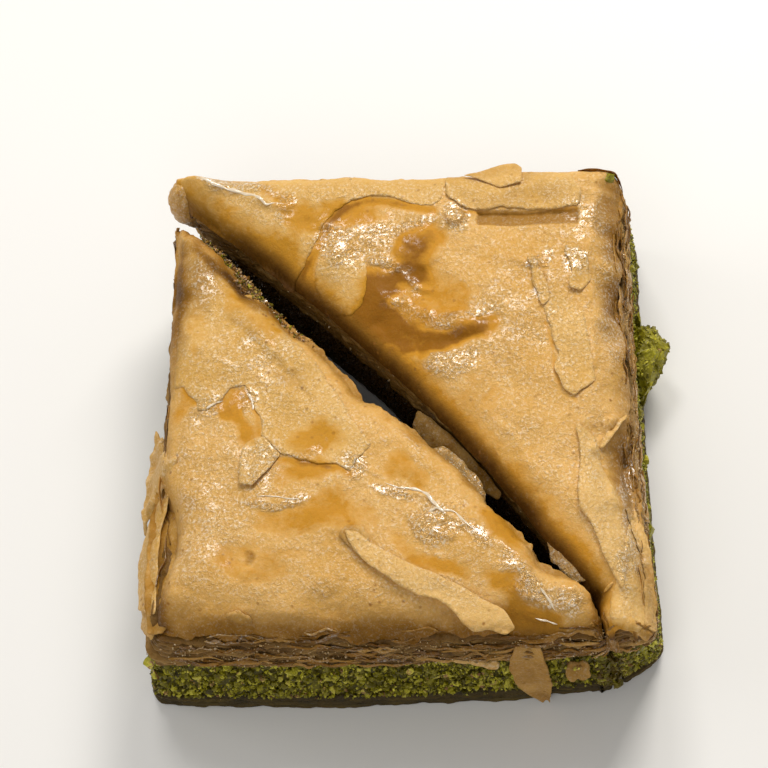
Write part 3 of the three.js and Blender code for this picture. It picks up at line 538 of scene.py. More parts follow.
class Finish:
    def __init__(self, name):
        self.material = bpy.data.materials.new(name)
        self.material.use_nodes = True
        self.tree = self.material.node_tree
        self.shader = self.tree.nodes["Principled BSDF"]
        self.place = Wire(self, self.tree.nodes.new("ShaderNodeTexCoord").outputs["Object"])

    def node(self, kind, settings=None, values=None, output=0):
        made = self.tree.nodes.new(kind)
        for key, value in (settings or {}).items():
            if key == "stops":
                ramp = made.color_ramp.elements
                while len(ramp) < len(value):
                    ramp.new(0.5)
                for stop, (at, colour) in zip(ramp, value):
                    stop.position, stop.color = at, (*colour, 1)
            else:
                setattr(made, key, value)
        for key, value in (values or {}).items():
            self.feed(made.inputs[key], value)
        return Wire(self, made.outputs[output])

    def feed(self, socket, value):
        if isinstance(value, Wire):
            self.tree.links.new(value.out, socket)
        elif isinstance(value, tuple) and len(value) == 3 and socket.type == "RGBA":
            socket.default_value = (*value, 1)
        else:
            socket.default_value = value

    def noise(self, millimetres, detail=3.0, rough=0.5, stretch=(1, 1, 1), warp=0.0):
        place = self.node("ShaderNodeMapping", {"vector_type": "POINT"},
                          {"Vector": self.place, "Scale": tuple(1000 * s / millimetres for s in stretch)})
        return self.node("ShaderNodeTexNoise", {"noise_dimensions": "3D"},
                         {"Vector": place, "Scale": 1.0, "Detail": detail, "Roughness": rough, "Distortion": warp})

    def cells(self, millimetres):
        return self.node("ShaderNodeTexVoronoi", {"feature": "F1"},
                         {"Vector": self.place, "Scale": 1000 / millimetres}, "Distance")

    def mask(self, label):
        return self.node("ShaderNodeAttribute", {"attribute_type": "GEOMETRY", "attribute_name": label},
                         output="Fac")

    def mix(self, share, a, b):
        return self.node("ShaderNodeMix", {"data_type": "RGBA", "blend_type": "MIX", "clamp_factor": True},
                         {0: share, 6: a, 7: b}, 2)

    def bump(self, height, millimetres, strength=1.0):
        return self.node("ShaderNodeBump", {}, {"Height": height, "Distance": millimetres / 1000,
                                                "Strength": strength})

    def set(self, **sockets):
        for name, value in sockets.items():
            self.feed(self.shader.inputs[name.replace("_", " ")], value)
        return self.material


sheetLook = {
    "pale": (0.76, 0.460, 0.155), "golden": (0.63, 0.340, 0.070), "amber": (0.56, 0.255, 0.018),
    "caramel": (0.27, 0.103, 0.001), "brown": (0.26, 0.114, 0.007), "black": (0.090, 0.034, 0.0015),
    # paintedGlint is a painted highlight on the foil's crests, foilDipShade painted shade in its dips
    "paintedGlint": (1.0, 0.94, 0.80), "foilDipShade": (0.34, 0.170, 0.040), "freckle": (0.30, 0.125, 0.016),
    "dull": (0.44, 0.31, 0.155), "reliefMm": 0.24, "rough": 0.60, "smoother": 0.34, "metal": 0.26,
    "freckles": 0.45, "duller": 0.20,
    "body": {"IOR": 1.45, "Specular_IOR_Level": 0.2, "Coat_Roughness": 0.17, "Coat_IOR": 1.8,
             "Subsurface_Weight": 0.08, "Subsurface_Radius": (1.0, 0.45, 0.12), "Subsurface_Scale": 0.0008},
}


def sheetFinish(name, look):
    f = Finish(name)
    syrup, toast, glint, tone = (f.mask(label) for label in ("syrup", "toast", "glint", "tone"))
    broad, patch, fine = f.noise(11, 3), f.noise(3.0, 4, 0.6, warp=0.8), f.noise(0.9, 4, 0.6)
    foil = f.noise(0.33, 3, 0.6, warp=0.6)
    pale = (0.5 * broad + 0.3 * patch + 0.2 * fine + tone).spread(0.36, 0.64)
    colour = f.mix(pale, look["golden"], look["pale"])
    wet = syrup + (patch - 0.5) * 1.0 + (fine - 0.5) * 0.5 + (broad - 0.5) * 0.5
    damp = wet.spread(0.18, 0.58)
    colour = f.mix(damp, colour, look["amber"])         # soaked, then thick syrup
    colour = f.mix(wet.spread(0.75, 1.30), colour, look["caramel"])
    brown = toast + (patch - 0.5) * 0.30 + (fine - 0.5) * 0.22
    colour = f.mix(brown.spread(0.10, 0.62), colour, look["brown"])                # browning with painted shade, then scorched with the darkest painted shade in the cut
    colour = f.mix(brown.spread(0.62, 0.98), colour, look["black"])
    sparkle = (glint + (patch - 0.5) * 1.1 - 0.8 * damp - 0.5 * brown).spread(0.10, 0.80)
    dots = (0.19 - f.cells(1.5)).spread(0.0, 0.12) * (f.noise(6, 1).spread(0.46, 0.54) + brown.spread(0.0, 0.12))
    colour = f.mix(dots * look["freckles"], colour, look["freckle"])
    colour = f.mix(look["duller"] * sparkle, colour, look["dull"])                 # foil-like glitter
    # painted shade in the foil's dips, then painted highlights on its crests
    colour = f.mix((0.5 - foil).spread(0.01, 0.16) * (0.12 + 0.36 * sparkle), colour, look["foilDipShade"])
    colour = f.mix((foil - 0.5).spread(0.01, 0.15) * (0.09 * (1 - damp) + 0.42 * sparkle), colour, look["paintedGlint"])
    height = foil * (0.35 + 1.0 * sparkle) + fine * (0.9 - 0.5 * damp)
    shine = (glint + (patch - 0.5) * 1.2 - 0.50).spread(0.0, 0.36) * foil.spread(0.44, 0.54) * (1 - 0.6 * damp)
    return f.set(Base_Color=colour, Roughness=look["rough"] - look["smoother"] * sparkle,
                 Metallic=look["metal"] * sparkle, Normal=f.bump(height, look["reliefMm"], 0.9),
                 Coat_Weight=shine, **look["body"])


# In the pressed bands, deep is painted shade where a band runs back into the gaps and proud its lighter
# outstanding edge; on the underside the two make a mottle. Brown and black carry browning and painted shade.
layerLook = {"proud": (0.58, 0.35, 0.110), "deep": (0.11, 0.053, 0.007), "brown": (0.19, 0.088, 0.010),
             "black": (0.085, 0.034, 0.003)}
bottomLook = {"proud": (0.14, 0.095, 0.016), "deep": (0.030, 0.020, 0.003), "brown": (0.055, 0.034, 0.006),
              "black": (0.016, 0.008, 0.002)}
layerBody = {"IOR": 1.45, "Specular_IOR_Level": 0.28, "Subsurface_Weight": 0.06,
             "Subsurface_Radius": (1.0, 0.4, 0.12), "Subsurface_Scale": 0.0008}


def layerFinish(name, look):
    f = Finish(name)
    proud, toast, patch = f.mask("proud"), f.mask("toast"), f.noise(2.2, 4, 0.6)
    fine = f.noise(0.45, 3, 0.6, stretch=(1, 1, 3))
    raised = (proud + 0.7 * (patch - 0.5) + 0.7 * (fine - 0.5)).spread(0.15, 0.95)
    colour = f.mix(raised, look["deep"], look["proud"])
    brown = toast + 0.7 * (patch - 0.5) + 0.35 * (fine - 0.5)
    colour = f.mix(brown.spread(0.12, 0.6), colour, look["brown"])
    colour = f.mix(brown.spread(0.62, 0.95), colour, look["black"])
    height = 0.6 * fine + 0.5 * f.noise(0.9, 3) + 0.4 * f.noise(0.3, 2)
    return f.set(Base_Color=colour, Roughness=0.42 + 0.5 * (fine - 0.5), Normal=f.bump(height, 0.22, 0.9),
                 Metallic=0.25 * (proud + 0.8 * (patch - 0.5)).spread(0.35, 0.9), **layerBody)


nutLook = {
    "stops": [(0.0, (0.050, 0.041, 0.002)), (0.25, (0.125, 0.105, 0.004)), (0.55, (0.27, 0.235, 0.009)),
              (0.80, (0.50, 0.45, 0.022)), (0.93, (0.75, 0.68, 0.09)), (0.97, (0.45, 0.25, 0.09)),
              (1.0, (0.28, 0.14, 0.05))],
    "hollow": (0.05, 0.034, 0.003), "gloom": (0.085, 0.040, 0.004),
    "body": {"Coat_Weight": 0.05, "Coat_Roughness": 0.15, "IOR": 1.45, "Specular_IOR_Level": 0.3,
             "Subsurface_Weight": 0.06, "Subsurface_Radius": (0.7, 0.8, 0.2), "Subsurface_Scale": 0.0006},
}


def nutFinish(name, look):
    f = Finish(name)
    kind, gloom, fine = f.mask("kind"), f.mask("gloom"), f.noise(0.35, 3, 0.6)
    clump = f.noise(2.4, 2)
    colour = f.node("ShaderNodeValToRGB", {"stops": look["stops"]},
                    {0: (kind + 0.3 * (fine - 0.5) + 0.5 * (clump - 0.5)).spread(0, 1)})
    colour = f.mix(f.noise(0.9, 2).spread(0.40, 0.62) * 0.4, colour, look["hollow"])
    # painted shade in the cut between the slices and by the ends of the gap
    colour = f.mix((gloom + 0.5 * (f.noise(1.6, 2) - 0.5)).spread(0.2, 0.9), colour, look["gloom"])
    return f.set(Base_Color=colour, Roughness=0.40 + 0.4 * (fine - 0.5), Normal=f.bump(fine, 0.16, 0.9),
                 **look["body"])


beadLook = {"dark": (0.42, 0.22, 0.045), "light": (0.75, 0.54, 0.26)}
# near white, so the threads stand for painted highlights
threadHighlightLook = {"dark": (0.85, 0.62, 0.32), "light": (1.0, 0.94, 0.82)}
syrupBody = {"IOR": 1.6, "Transmission_Weight": 0.2, "Specular_IOR_Level": 0.9}


def syrupFinish(name, look):
    f = Finish(name)
    tone = f.noise(0.8, 2)
    return f.set(Base_Color=f.mix(tone, look["dark"], look["light"]), Roughness=0.12 + 0.1 * tone, **syrupBody)


crustFinish = sheetFinish("filoCrust", sheetLook)
edgeFinish = layerFinish("filoEdges", layerLook)
bottomFinish = layerFinish("filoBottom", bottomLook)
pistachioFinish = nutFinish("groundPistachio", nutLook)
beadFinish = syrupFinish("syrup", beadLook)
threadFinish = syrupFinish("syrupPaintedHighlight", threadHighlightLook)
print("finishes made")


crustMake = {"pitch": 0.29, "lip": 0.16, "lipGap": 0.02, "wallInset": 0.6, "levels": 7, "out": 0.05, "syrup": 0.05,
             "wallToastAndShade": 0.75}


def crustSolid(plan, seed):
    # The upper sheets as one solid: its top, a thin lip and a wall set back under the lip.
    make, ring = crustMake, planRing(plan, 1, *crustGrid)
    torn = grain(ring, 3.4, seed) + 0.5 * grain(ring, 1.1, seed + 8) + 0.3 * grain(ring, 0.6, seed + 9)
    push = bySide(plan, "ragged", *crustGrid) * torn + make["out"]
    ring = ring + outward(ring) * push[:, None]
    flat, faces, count = filledPlan(ring, make["pitch"], seed)
    top = topHeight(plan, flat) + crinkle(plan, flat, seed)
    total, lip = len(flat), top[:count] - make["lip"]
    walls = [np.c_[flat[:count], lip]]
    upper, lower = planRing(plan, 1, *crustGrid), planRing(plan, fillingTop / crown, *crustGrid)
    for level in np.linspace(0, 1, make["levels"]):
        wall = upper + (lower - upper) * level
        wall = wall - outward(wall) * make["wallInset"]
        walls.append(np.c_[wall, fillingTop + (lip - make["lipGap"] - fillingTop) * (1 - level)])
    points = np.concatenate([np.c_[flat, top], *walls, [[*plan["middle"], fillingTop]]])
    starts = [0] + [total + count * k for k in range(len(walls))]
    group = [faces] + [bandFaces(count, low, high) for high, low in zip(starts, starts[1:])]
    group.append(fanFaces(count, starts[-1], len(points) - 1, True))
    masks = sheetMasks(plan, points, make["syrup"])
    # amber beside the sheets' edges: syrup stain and painted shadow
    for line, width, strength in plan["stainsAndShadows"]:
        masks["syrup"] += strength * np.exp(-(lineDistance(points[:, :2], line) / width) ** 2)
    # the wall set back under the lip is dark brown: painted shade under the lip
    masks["toast"][total:] = make["wallToastAndShade"]
    return points, group, masks


bandCover = 0.36                                    # the bands stay this far under the crust's top
bandMake = {"count": 14, "grid": bandGrid, "bury": 1.6, "fill": 0.74, "ragged": 0.36, "fine": 0.26, "wave": 0.24,
            "chip": 1.1, "over": 0.02, "below": 0.4}
# The outline of a band: mm past its torn edge, where it isn't buried, and the share of its half height
bandOutline = [(None, -1), (0, -0.8), (0.07, 0), (0, 0.8), (None, 1)]


def sheetBands(plan, low, high, seed, make):
    # Pressed sheets round a slice, each a closed band with a torn outer edge.
    parts, grid, wave = [], make["grid"], make["wave"]
    cut, pressed = bySide(plan, "cut", *grid), bySide(plan, "pressed", *grid)
    half = np.mean(high - low) / make["count"] * make["fill"] / 2
    for k in range(make["count"]):
        share = (k + 0.5) / make["count"]
        centre = low + (high - low) * share
        ring = planRing(plan, float(np.mean(centre)) / crown, *grid)
        away, n = outward(ring), len(ring)
        around = np.c_[ring, np.full(n, 9.0 * k)]
        out = make["ragged"] * grain(around, 2.8, seed + k) - 0.12
        out += make["fine"] * grain(around, 0.8, seed + k + 50)
        out += 0.25 * grain(around, 7.0, seed + 5) * (1 - cut)
        out -= make["chip"] * smooth(grain(around, 4.0, seed + k + 90, 1), 0.35, 0.7)
        middle = centre + wave * grain(ring, 5.0, seed + 7 + k // 4)
        middle += wave * 0.8 * grain(around, 2.0, seed + k + 130)
        droop = wave * (grain(around, 2.4, seed + k + 170) - 0.2)
        loops = []
        for past, rise in bandOutline:
            place = np.full(n, -make["bury"]) if past is None else out + past
            spot = ring + away * place[:, None]
            z = middle + rise * half + (0 if past is None else droop)
            loops.append(np.c_[spot, np.minimum(z, topHeight(plan, spot) - bandCover - 0.03 * (1 - rise))])
        # A band is lighter where its torn edge stands out and darker back in the gaps, which is painted light and
        # shade, with a random tone for each band
        edge = smooth(out, -0.6, 0.4) + 0.35 * grain(np.full((1, 2), 3.7 * k), 1.0, seed + 33)[0]
        # On the cut sides the bands are darker, painted shade between the slices; elsewhere each side has its own
        toast = 0.54 * cut + (1 - cut) * pressed * (0.8 + 0.6 * smooth(share, 0.6, 1)) \
            + 0.25 * grain(around, 4, seed + 210)
        parts.append((np.concatenate(loops), [loopFaces(n, len(loops), 0, True)],
                      {"proud": np.concatenate([0 * edge, edge, edge, edge, 0 * edge]),
                       "toast": np.clip(np.tile(toast, len(loops)), 0, 1)}))
    return parts


def raggedOutline(outline, pitch, ragged, seed):    # a torn outline through the given corners
    corners = np.array(outline, float)
    pieces = []
    for a, b in zip(corners, np.roll(corners, -1, 0)):
        count = max(2, int(np.linalg.norm(b - a) / pitch))
        pieces.append(a + (b - a) * (np.arange(count) / count)[:, None])
    ring = np.concatenate(pieces)
    after = np.roll(ring, -1, 0)
    if (ring[:, 0] * after[:, 1] - ring[:, 1] * after[:, 0]).sum() < 0:
        ring = ring[::-1]
    for _ in range(2):                              # takes the points off the corners
        ring = (np.roll(ring, 1, 0) + 2 * ring + np.roll(ring, -1, 0)) / 4
    push = ragged * (grain(ring, 1.9, seed) + 0.6 * grain(ring, 0.7, seed + 5))
    return ring + outward(ring) * push[:, None]


sheetMake = {"pitch": 0.33, "step": 0.22, "thick": 0.06, "ragged": 0.26, "clear": 0.05, "curl": 0.05, "belly": 0.4,
             "wave": 0.25, "patchy": 0.10, "tone": 0.0, "lift": 0, "from": 0, "sink": 0, "share": 1.0,
             "edgeHighlight": 0.16}


def tornSheet(plan, bit, seed, relief):
    # A bit of sheet over its outline. It follows the crust, stands stiff over it, lies on a plane of its own
    # or hangs between outline points that each have a height.
    make = {**sheetMake, **bit}
    ring = raggedOutline([corner[:2] for corner in make["outline"]], make["step"], make["ragged"], seed)
    flat, faces, count = filledPlan(ring, make["pitch"], seed)
    away = lineDistance(flat, ring, True)
    curl = make["curl"] * np.exp(-away / 0.5) * (0.5 + grain(flat, 2.0, seed + 3))
    hung = len(make["outline"][0]) == 3
    free = hung or "plane" in make
    if free:
        if hung:
            pins = np.array(make["outline"], float)
            pull = 1 / (((flat[:, None] - pins[None, :, :2]) ** 2).sum(2) + 0.15) ** 1.5
            top = pull @ pins[:, 2] / pull.sum(1)
        else:
            height, x, y, slopeX, slopeY = make["plane"]
            top = height + slopeX * (flat[:, 0] - x) + slopeY * (flat[:, 1] - y)
        top += make["belly"] * smooth(away, 0, 1.6)
        top += make["wave"] * grain(flat, 3.0, seed + 6) + 0.4 * make["wave"] * grain(flat, 1.0, seed + 7)
    else:
        ground = topHeight(plan, flat) + crinkle(plan, flat, relief)
        top = ground + make["clear"] + make["patchy"] * grain(flat, 4.6, seed + 8, 1)
        if "stiff" in make:
            raised = ground + (crown + 0.3 - ground) * make["stiff"]
            top = np.maximum(top, raised + 0.12 * grain(flat, 3, seed + 6))
        if "heading" in make:
            heading = math.radians(make["heading"])
            along = (flat - flat.mean(0)) @ (math.cos(heading), math.sin(heading))
            along /= np.abs(along).max() + 1e-9
            top += make["lift"] * smooth(along, make["from"], 1) - make["sink"] * smooth(-along, 0.1, 0.9)
    top = top + curl
    total = len(flat)
    points = np.concatenate([np.c_[flat, top], np.c_[flat, top - make["thick"]]])
    group = [faces, faces[:, ::-1] + total, bandFaces(count, total, 0)]
    if free:
        masks = evenMasks(make.get("toast", 0.1) + 0.18 * grain(points, 3, seed + 12), make.get("syrup", 0.1),
                          make.get("glint", 0.35), make["tone"])
    else:
        masks = sheetMasks(plan, points, make.get("syrup", 0), make.get("toast", 0), make["share"], make["tone"])
    masks["tone"] += make["edgeHighlight"] * np.exp(-np.r_[away, away] / 0.25)      # painted highlight along each thin torn edge
    return points, group, masks


backSheets = {
    # over the narrow end and on along the back edge
    "tip": {"outline": [(-27.2, 28.6), (-20, 22.3), (-12.4, 15.4), (-11.0, 17.0), (-9.7, 19.2), (-8.9, 21.2),
                        (-7.7, 23.6), (-6.0, 25.6), (-3.5, 26.6), (-0.7, 26.3), (1.1, 25.8), (3.0, 25.1),
                        (4.8, 24.6), (5.8, 25.6), (6.4, 29.8), (-10, 30.2), (-27.2, 30.4)], "clear": 0.09,
            "patchy": 0.05, "curl": 0.03},
    "backStrip": {"outline": [(6.4, 26.2), (8.6, 24.4), (10.3, 24.2), (11.6, 24.1), (13.0, 24.5), (15.8, 24.0),
                              (20.2, 24.0), (22.4, 24.4), (22.8, 26.4), (21.0, 29.6), (6.2, 29.9)], "clear": 0.16,
                  "toast": 0.12},
    "backLip": {"outline": [(8.3, 29.1), (9.9, 28.6), (13.0, 27.2), (15.6, 27.8), (15.6, 30.0), (14.7, 30.7),
                            (13.1, 30.6), (11.3, 30.0)], "stiff": 0.7, "clear": 0.3, "toast": 0.05,
                "ragged": 0.12},
    "pale": {"outline": [(-9.4, 15.2), (-9.0, 17.8), (-5.8, 18.6), (-3.2, 17.4), (-2.8, 14.8), (-3.4, 12.2),
                         (-4.6, 11.0), (-7.1, 11.4), (-8.8, 12.8)], "clear": 0.06, "share": 0.35, "ragged": 0.25},
    "longRight": {"outline": [(17.8, 13.4), (18.5, 9.5), (19.5, 6.2), (20.0, 4.3), (19.6, 2.2), (20.6, -0.4),
                              (21.9, -1.2), (23.3, -0.1), (24.3, 1.0), (24.2, 3.5), (23.5, 6.4), (23.1, 9.3),
                              (23.2, 11.5), (21.8, 14.2), (19.6, 15.2)], "heading": 215, "lift": 0.2,
                  "sink": 0.2, "clear": 0.10, "patchy": 0.06},
    "upperRight": {"outline": [(20.8, 18.5), (22.1, 18.4), (23.3, 17.2), (23.9, 14.2), (22.8, 12.4), (21.4, 12.8),
                               (21.6, 14.5), (21.4, 16.6)], "clear": 0.2, "heading": 200, "lift": 0.2},
    "narrowRight": {"outline": [(16.4, 17.2), (17.4, 16.9), (18.3, 14.6), (18.9, 11.4), (18.2, 10.4),
                                (17.2, 13.4)],
                    "clear": 0.2, "curl": 0.25},
    "tongue": {"outline": [(22.1, -4.6), (22.6, -8.3), (22.3, -11.4), (22.4, -15.2), (23.5, -16.9), (25.0, -20.6),
                           (26.2, -23.3), (27.1, -25.0), (27.8, -21.5), (27.6, -17.0), (26.2, -12.6),
                           (24.8, -9.4), (24.2, -6.2)], "clear": 0.3, "heading": 190, "lift": 0.25, "sink": 0.35,
               "ragged": 0.14, "patchy": 0, "tone": 0.18, "toast": -0.4, "share": 0},
    "tail": {"outline": [(26.2, -24.2), (28.4, -13.6), (30.0, -17.6), (30.5, -22.6), (30.5, -27.6), (28.6, -29.4),
                         (27.3, -29.2), (26.0, -28.8), (25.4, -27.4)], "clear": 0.10, "tone": 0.1, "toast": -0.25},
    "tailStrand": {"outline": [(28.0, -13.8), (29.6, -17.6), (30.5, -21.6), (30.7, -26.8), (30.4, -29.0),
                               (29.4, -28.6),
                               (29.4, -22.4), (28.6, -17.8), (27.4, -14.4)], "clear": 0.24, "curl": 0.14,
                   "tone": 0.14, "toast": -0.2},
    "chip": {"outline": [(24.7, -24.7), (25.3, -24.1), (26.1, -23.7), (26.0, -24.1), (25.3, -24.7)], "clear": 0.2,
             "tone": 0.3, "toast": -0.6, "ragged": 0.05, "pitch": 0.2},
    "foldOver": {"outline": [(24.3, -7.4, 21.6), (25.0, -6.1, 21.5), (26.2, -4.5, 21.2), (27.6, -2.7, 20.6),
                             (28.0, -2.8, 20.7), (27.2, -4.3, 21.4), (26.1, -6.0, 21.7), (25.1, -7.5, 21.8)],
                 "belly": 0.05, "wave": 0.08, "toast": 0.0, "syrup": 0.1, "tone": 0.15, "ragged": 0.08},
    "slip": {"outline": [(2.3, -1.6), (3.0, 0.0), (4.6, -1.1), (6.7, -3.2), (9.3, -6.0), (11.9, -9.1),
                         (13.2, -10.9), (12.7, -11.6), (10.5, -9.9), (7.2, -7.3), (4.8, -5.1)],
             "plane": (17.4, 6.6, -3.6, 0.4, 0.4),
             "toast": 0.52, "syrup": 0.1, "belly": 0.3, "tone": 0.1, "wave": 0.4, "ragged": 0.12},
    "flap": {"outline": [(18.4, -17.6), (19.7, -16.9), (20.9, -18.5), (21.6, -20.0), (22.2, -21.4), (23.0, -22.9),
                         (21.9, -23.0), (20.3, -21.7), (19.0, -20.0)],
             "plane": (19.9, 20.6, -19.8, 0.3, 0.3), "toast": 0.26, "syrup": 0.0, "belly": 0.3, "tone": 0.2,
             "glint": 0.8},
}
# Sheets that drape down a side: a line in space, the width at each of its stations
backDrapes = [
    {"line": [(27.3, 28.6, 16.4), (27.5, 22, 16.2), (27.5, 14, 16.3), (27.8, 5.0, 16.6)],
     "widths": [3.0, 5.4, 5.0, 3.0], "toast": 0.34, "side": (0.25, 0, -1)},
    {"line": [(28.4, 3.0, 16.4), (28.7, -6.0, 15.6), (29.6, -14.0, 15.4)], "widths": [2.4, 4.6, 2.0],
     "toast": 0.36,
     "side": (0.25, 0, -1)},
]
frontDrapes = [
    {"line": [(16.4, -28.2, 18.2), (16.1, -29.6, 16.0), (15.9, -30.2, 11), (16.3, -30.5, 6), (17.2, -30.8, 0.8)],
     "widths": [1.5, 3.2, 4.4, 4.1, 0.8], "toast": 0.36, "side": (1, 0, 0), "along": 70, "across": 18,
     "ragged": 0.16, "belly": 0.3, "wave": 0.2, "thick": 0.2, "glint": 0.2},
    {"line": [(23.2, -28.9, 15.4), (24.6, -28.8, 15.2), (26.4, -28.9, 15.2)], "widths": [3.0, 4.6, 3.4],
     "toast": 0.55, "side": (0, -0.12, -1)},
]
frontSheets = {
    "upper": {"outline": [(-25.6, 1.7), (-24.2, 1.6), (-23.9, 0.5), (-22.7, -0.4), (-22.4, -1.9), (-21.2, -1.9),
                          (-20.2, -1.0), (-19.4, -0.5), (-18.7, 1.1), (-17.0, 1.4), (-16.1, 0.1), (-15.5, -2.2),
                          (-14.7, -2.7), (-14.5, -3.9), (-14.6, -5.2), (-13.1, -6.7), (-12.2, -7.9), (-9.6, -8.5),
                          (-7.6, -9.0), (-5.0, -9.3), (-3.9, -10.2), (-3.0, -8.0), (-1.7, -6.6), (-4.0, -3.0),
                          (-5.4, -0.4), (-9.0, 4.8), (-14.5, 11.0), (-24.9, 21.8), (-26.2, 22.6), (-25.6, 12)],
              "clear": 0.08, "patchy": 0.06},
    "tile": {"outline": [(-16.2, -6.1), (-15.3, -5.6), (-14.3, -5.4), (-13.1, -6.8), (-12.1, -7.9), (-13.1, -9.2),
                         (-14.3, -10.9), (-15.1, -11.9), (-16.8, -11.5), (-16.9, -9.2), (-16.7, -7.1)],
             "clear": 0.24, "heading": -120, "lift": 0.3, "from": -0.6, "ragged": 0.1},
    "longFlake": {"outline": [(-4.3, -17.6), (-2.9, -17.7), (-0.5, -19.5), (2.9, -21.4), (8.9, -24.3),
                              (12.3, -26.3), (14.1, -27.2), (15.2, -29.1), (14.1, -29.9), (12.5, -29.2),
                              (10.5, -29.5), (9.2, -28.7), (8.2, -27.1), (6.5, -25.9), (4.3, -25.5), (1.6, -23.8),
                              (-1.1, -22.0), (-2.9, -20.2)], "stiff": 0.72, "clear": 0.35, "heading": -125,
                  "lift": 0.35, "from": -0.8, "ragged": 0.12, "share": 0.1, "toast": -0.4, "tone": 0.12},
    "flakeEnd": {"outline": [(-5.0, -18.0), (-4.0, -16.8), (-2.2, -17.0), (-1.2, -18.6), (-2.2, -20.6),
                             (-3.8, -19.6)], "clear": 0.3, "toast": 0.15},
    "peelA": {"outline": [(-29.2, -0.4, 14.4), (-27.4, -3.1, 17.3), (-25.6, -6.2, 20.6), (-24.5, -7.6, 22.0),
                          (-24.8, -9.0, 21.3), (-26.2, -10.2, 19.2), (-27.9, -10.8, 16.9), (-29.0, -12.2, 15.0),
                          (-29.7, -13.9, 13.6), (-30.2, -9.3, 12.9), (-30.0, -5.0, 12.9), (-29.7, -2.3, 13.2)],
              "toast": 0.06, "tone": -0.05},
    "rimTorn": {"outline": [(5.0, -6.3, 19.6), (6.2, -5.4, 19.0), (7.9, -6.8, 18.8), (9.6, -8.4, 18.8),
                            (11.0, -10.3, 18.9), (11.4, -12.4, 19.1), (11.8, -14.2, 19.4), (10.6, -13.4, 20.1),
                            (9.4, -11.6, 20.4), (8.0, -9.6, 20.4), (6.4, -8.0, 20.3)], "toast": 0.42,
                "belly": 0.1, "wave": 0.35, "ragged": 0.35, "tone": 0.1, "glint": 0.9},
    "rimCurl": {"outline": [(20.6, -24.4, 19.6), (21.2, -23.4, 19.0), (23.2, -25.3, 18.6), (24.5, -27.0, 18.4),
                            (24.0, -27.8, 18.9), (22.4, -26.2, 19.6)], "toast": 0.2, "belly": 0.15, "wave": 0.2,
                "ragged": 0.25},
    "peelB": {"outline": [(-25.6, -10.2), (-25.9, -13.0), (-26.6, -15.6), (-26.9, -18.2), (-26.7, -20.5),
                          (-26.6, -23.0), (-26.6, -25.6), (-29.4, -24.0), (-30.0, -17.8), (-29.2, -15.0),
                          (-28.5, -13.0), (-27.4, -11.3)], "plane": (19.3, -26.0, -14, 1.1, 0), "toast": 0.04,
              "wave": 0.4, "tone": -0.05, "ragged": 0.16},
    "peelC": {"outline": [(-29.3, -21.9), (-26.6, -22.4), (-26.3, -26.3), (-27.2, -28.2), (-29.0, -26.4)],
              "plane": (16.8, -27.3, -24, 0.9, 0.05), "toast": 0.3, "wave": 0.4},
    "peelUnder": {"outline": [(-26.4, -5, 18.6), (-24.4, -9, 19.2), (-22.8, -13, 19.5), (-22.2, -17, 19.5),
                              (-22.8, -21, 19.5), (-24.2, -25, 19.1), (-25.6, -28, 18.2), (-27.8, -27.5, 17.0),
                              (-28.3, -19, 17.5), (-28.0, -11, 17.3), (-27.9, -6, 17.0)], "belly": -0.15,
                  "toast": 0.36, "syrup": 0.40, "wave": 0.2},
    "crisp": {"outline": [(-18.4, 15.0), (-17.0, 14.6), (-13.6, 10.8), (-10.8, 7.4), (-9.4, 5.6), (-11.8, 7.2),
                          (-15.4, 10.8), (-18.4, 14.0)], "plane": (19.8, -14, 10.8, 0.35, 0.35), "toast": 0.2,
              "syrup": 0.5, "belly": 0.2},
    "sliver": {"outline": [(6.0, -29.0), (9.5, -29.4), (12.6, -29.7), (12.3, -30.3), (9.2, -30.0), (6.4, -29.5)],
               "plane": (12.2, 9, -29.6, 0.0, 1.2), "toast": 0.2, "belly": 0.1, "wave": 0.1},
    "roundFlake": {"outline": [(20.3, -29.7), (20.6, -29.3), (21.4, -29.6), (22.2, -29.1), (22.9, -29.7),
                               (22.6, -30.2),
                               (23.0, -30.7), (21.9, -31.0), (21.3, -30.6), (20.6, -31.0), (20.1, -30.4)],
                   "plane": (10.6, 21.6, -30.0, 0, 1.2), "toast": 0.42, "belly": 0.2, "wave": 0.4, "tone": 0.1,
                   "ragged": 0.3},
    "nearBit": {"outline": [(-17.8, -27.0), (-16.2, -26.7), (-14.8, -27.1), (-14.6, -27.7), (-16.4, -28.0)],
                "clear": 0.2, "curl": 0.2},
}


ribbonMake = {"along": 90, "across": 16, "syrup": 0.1, "ragged": 0.55, "belly": 0.1, "wave": 0.5, "thick": 0.1,
              "glint": 0.6}


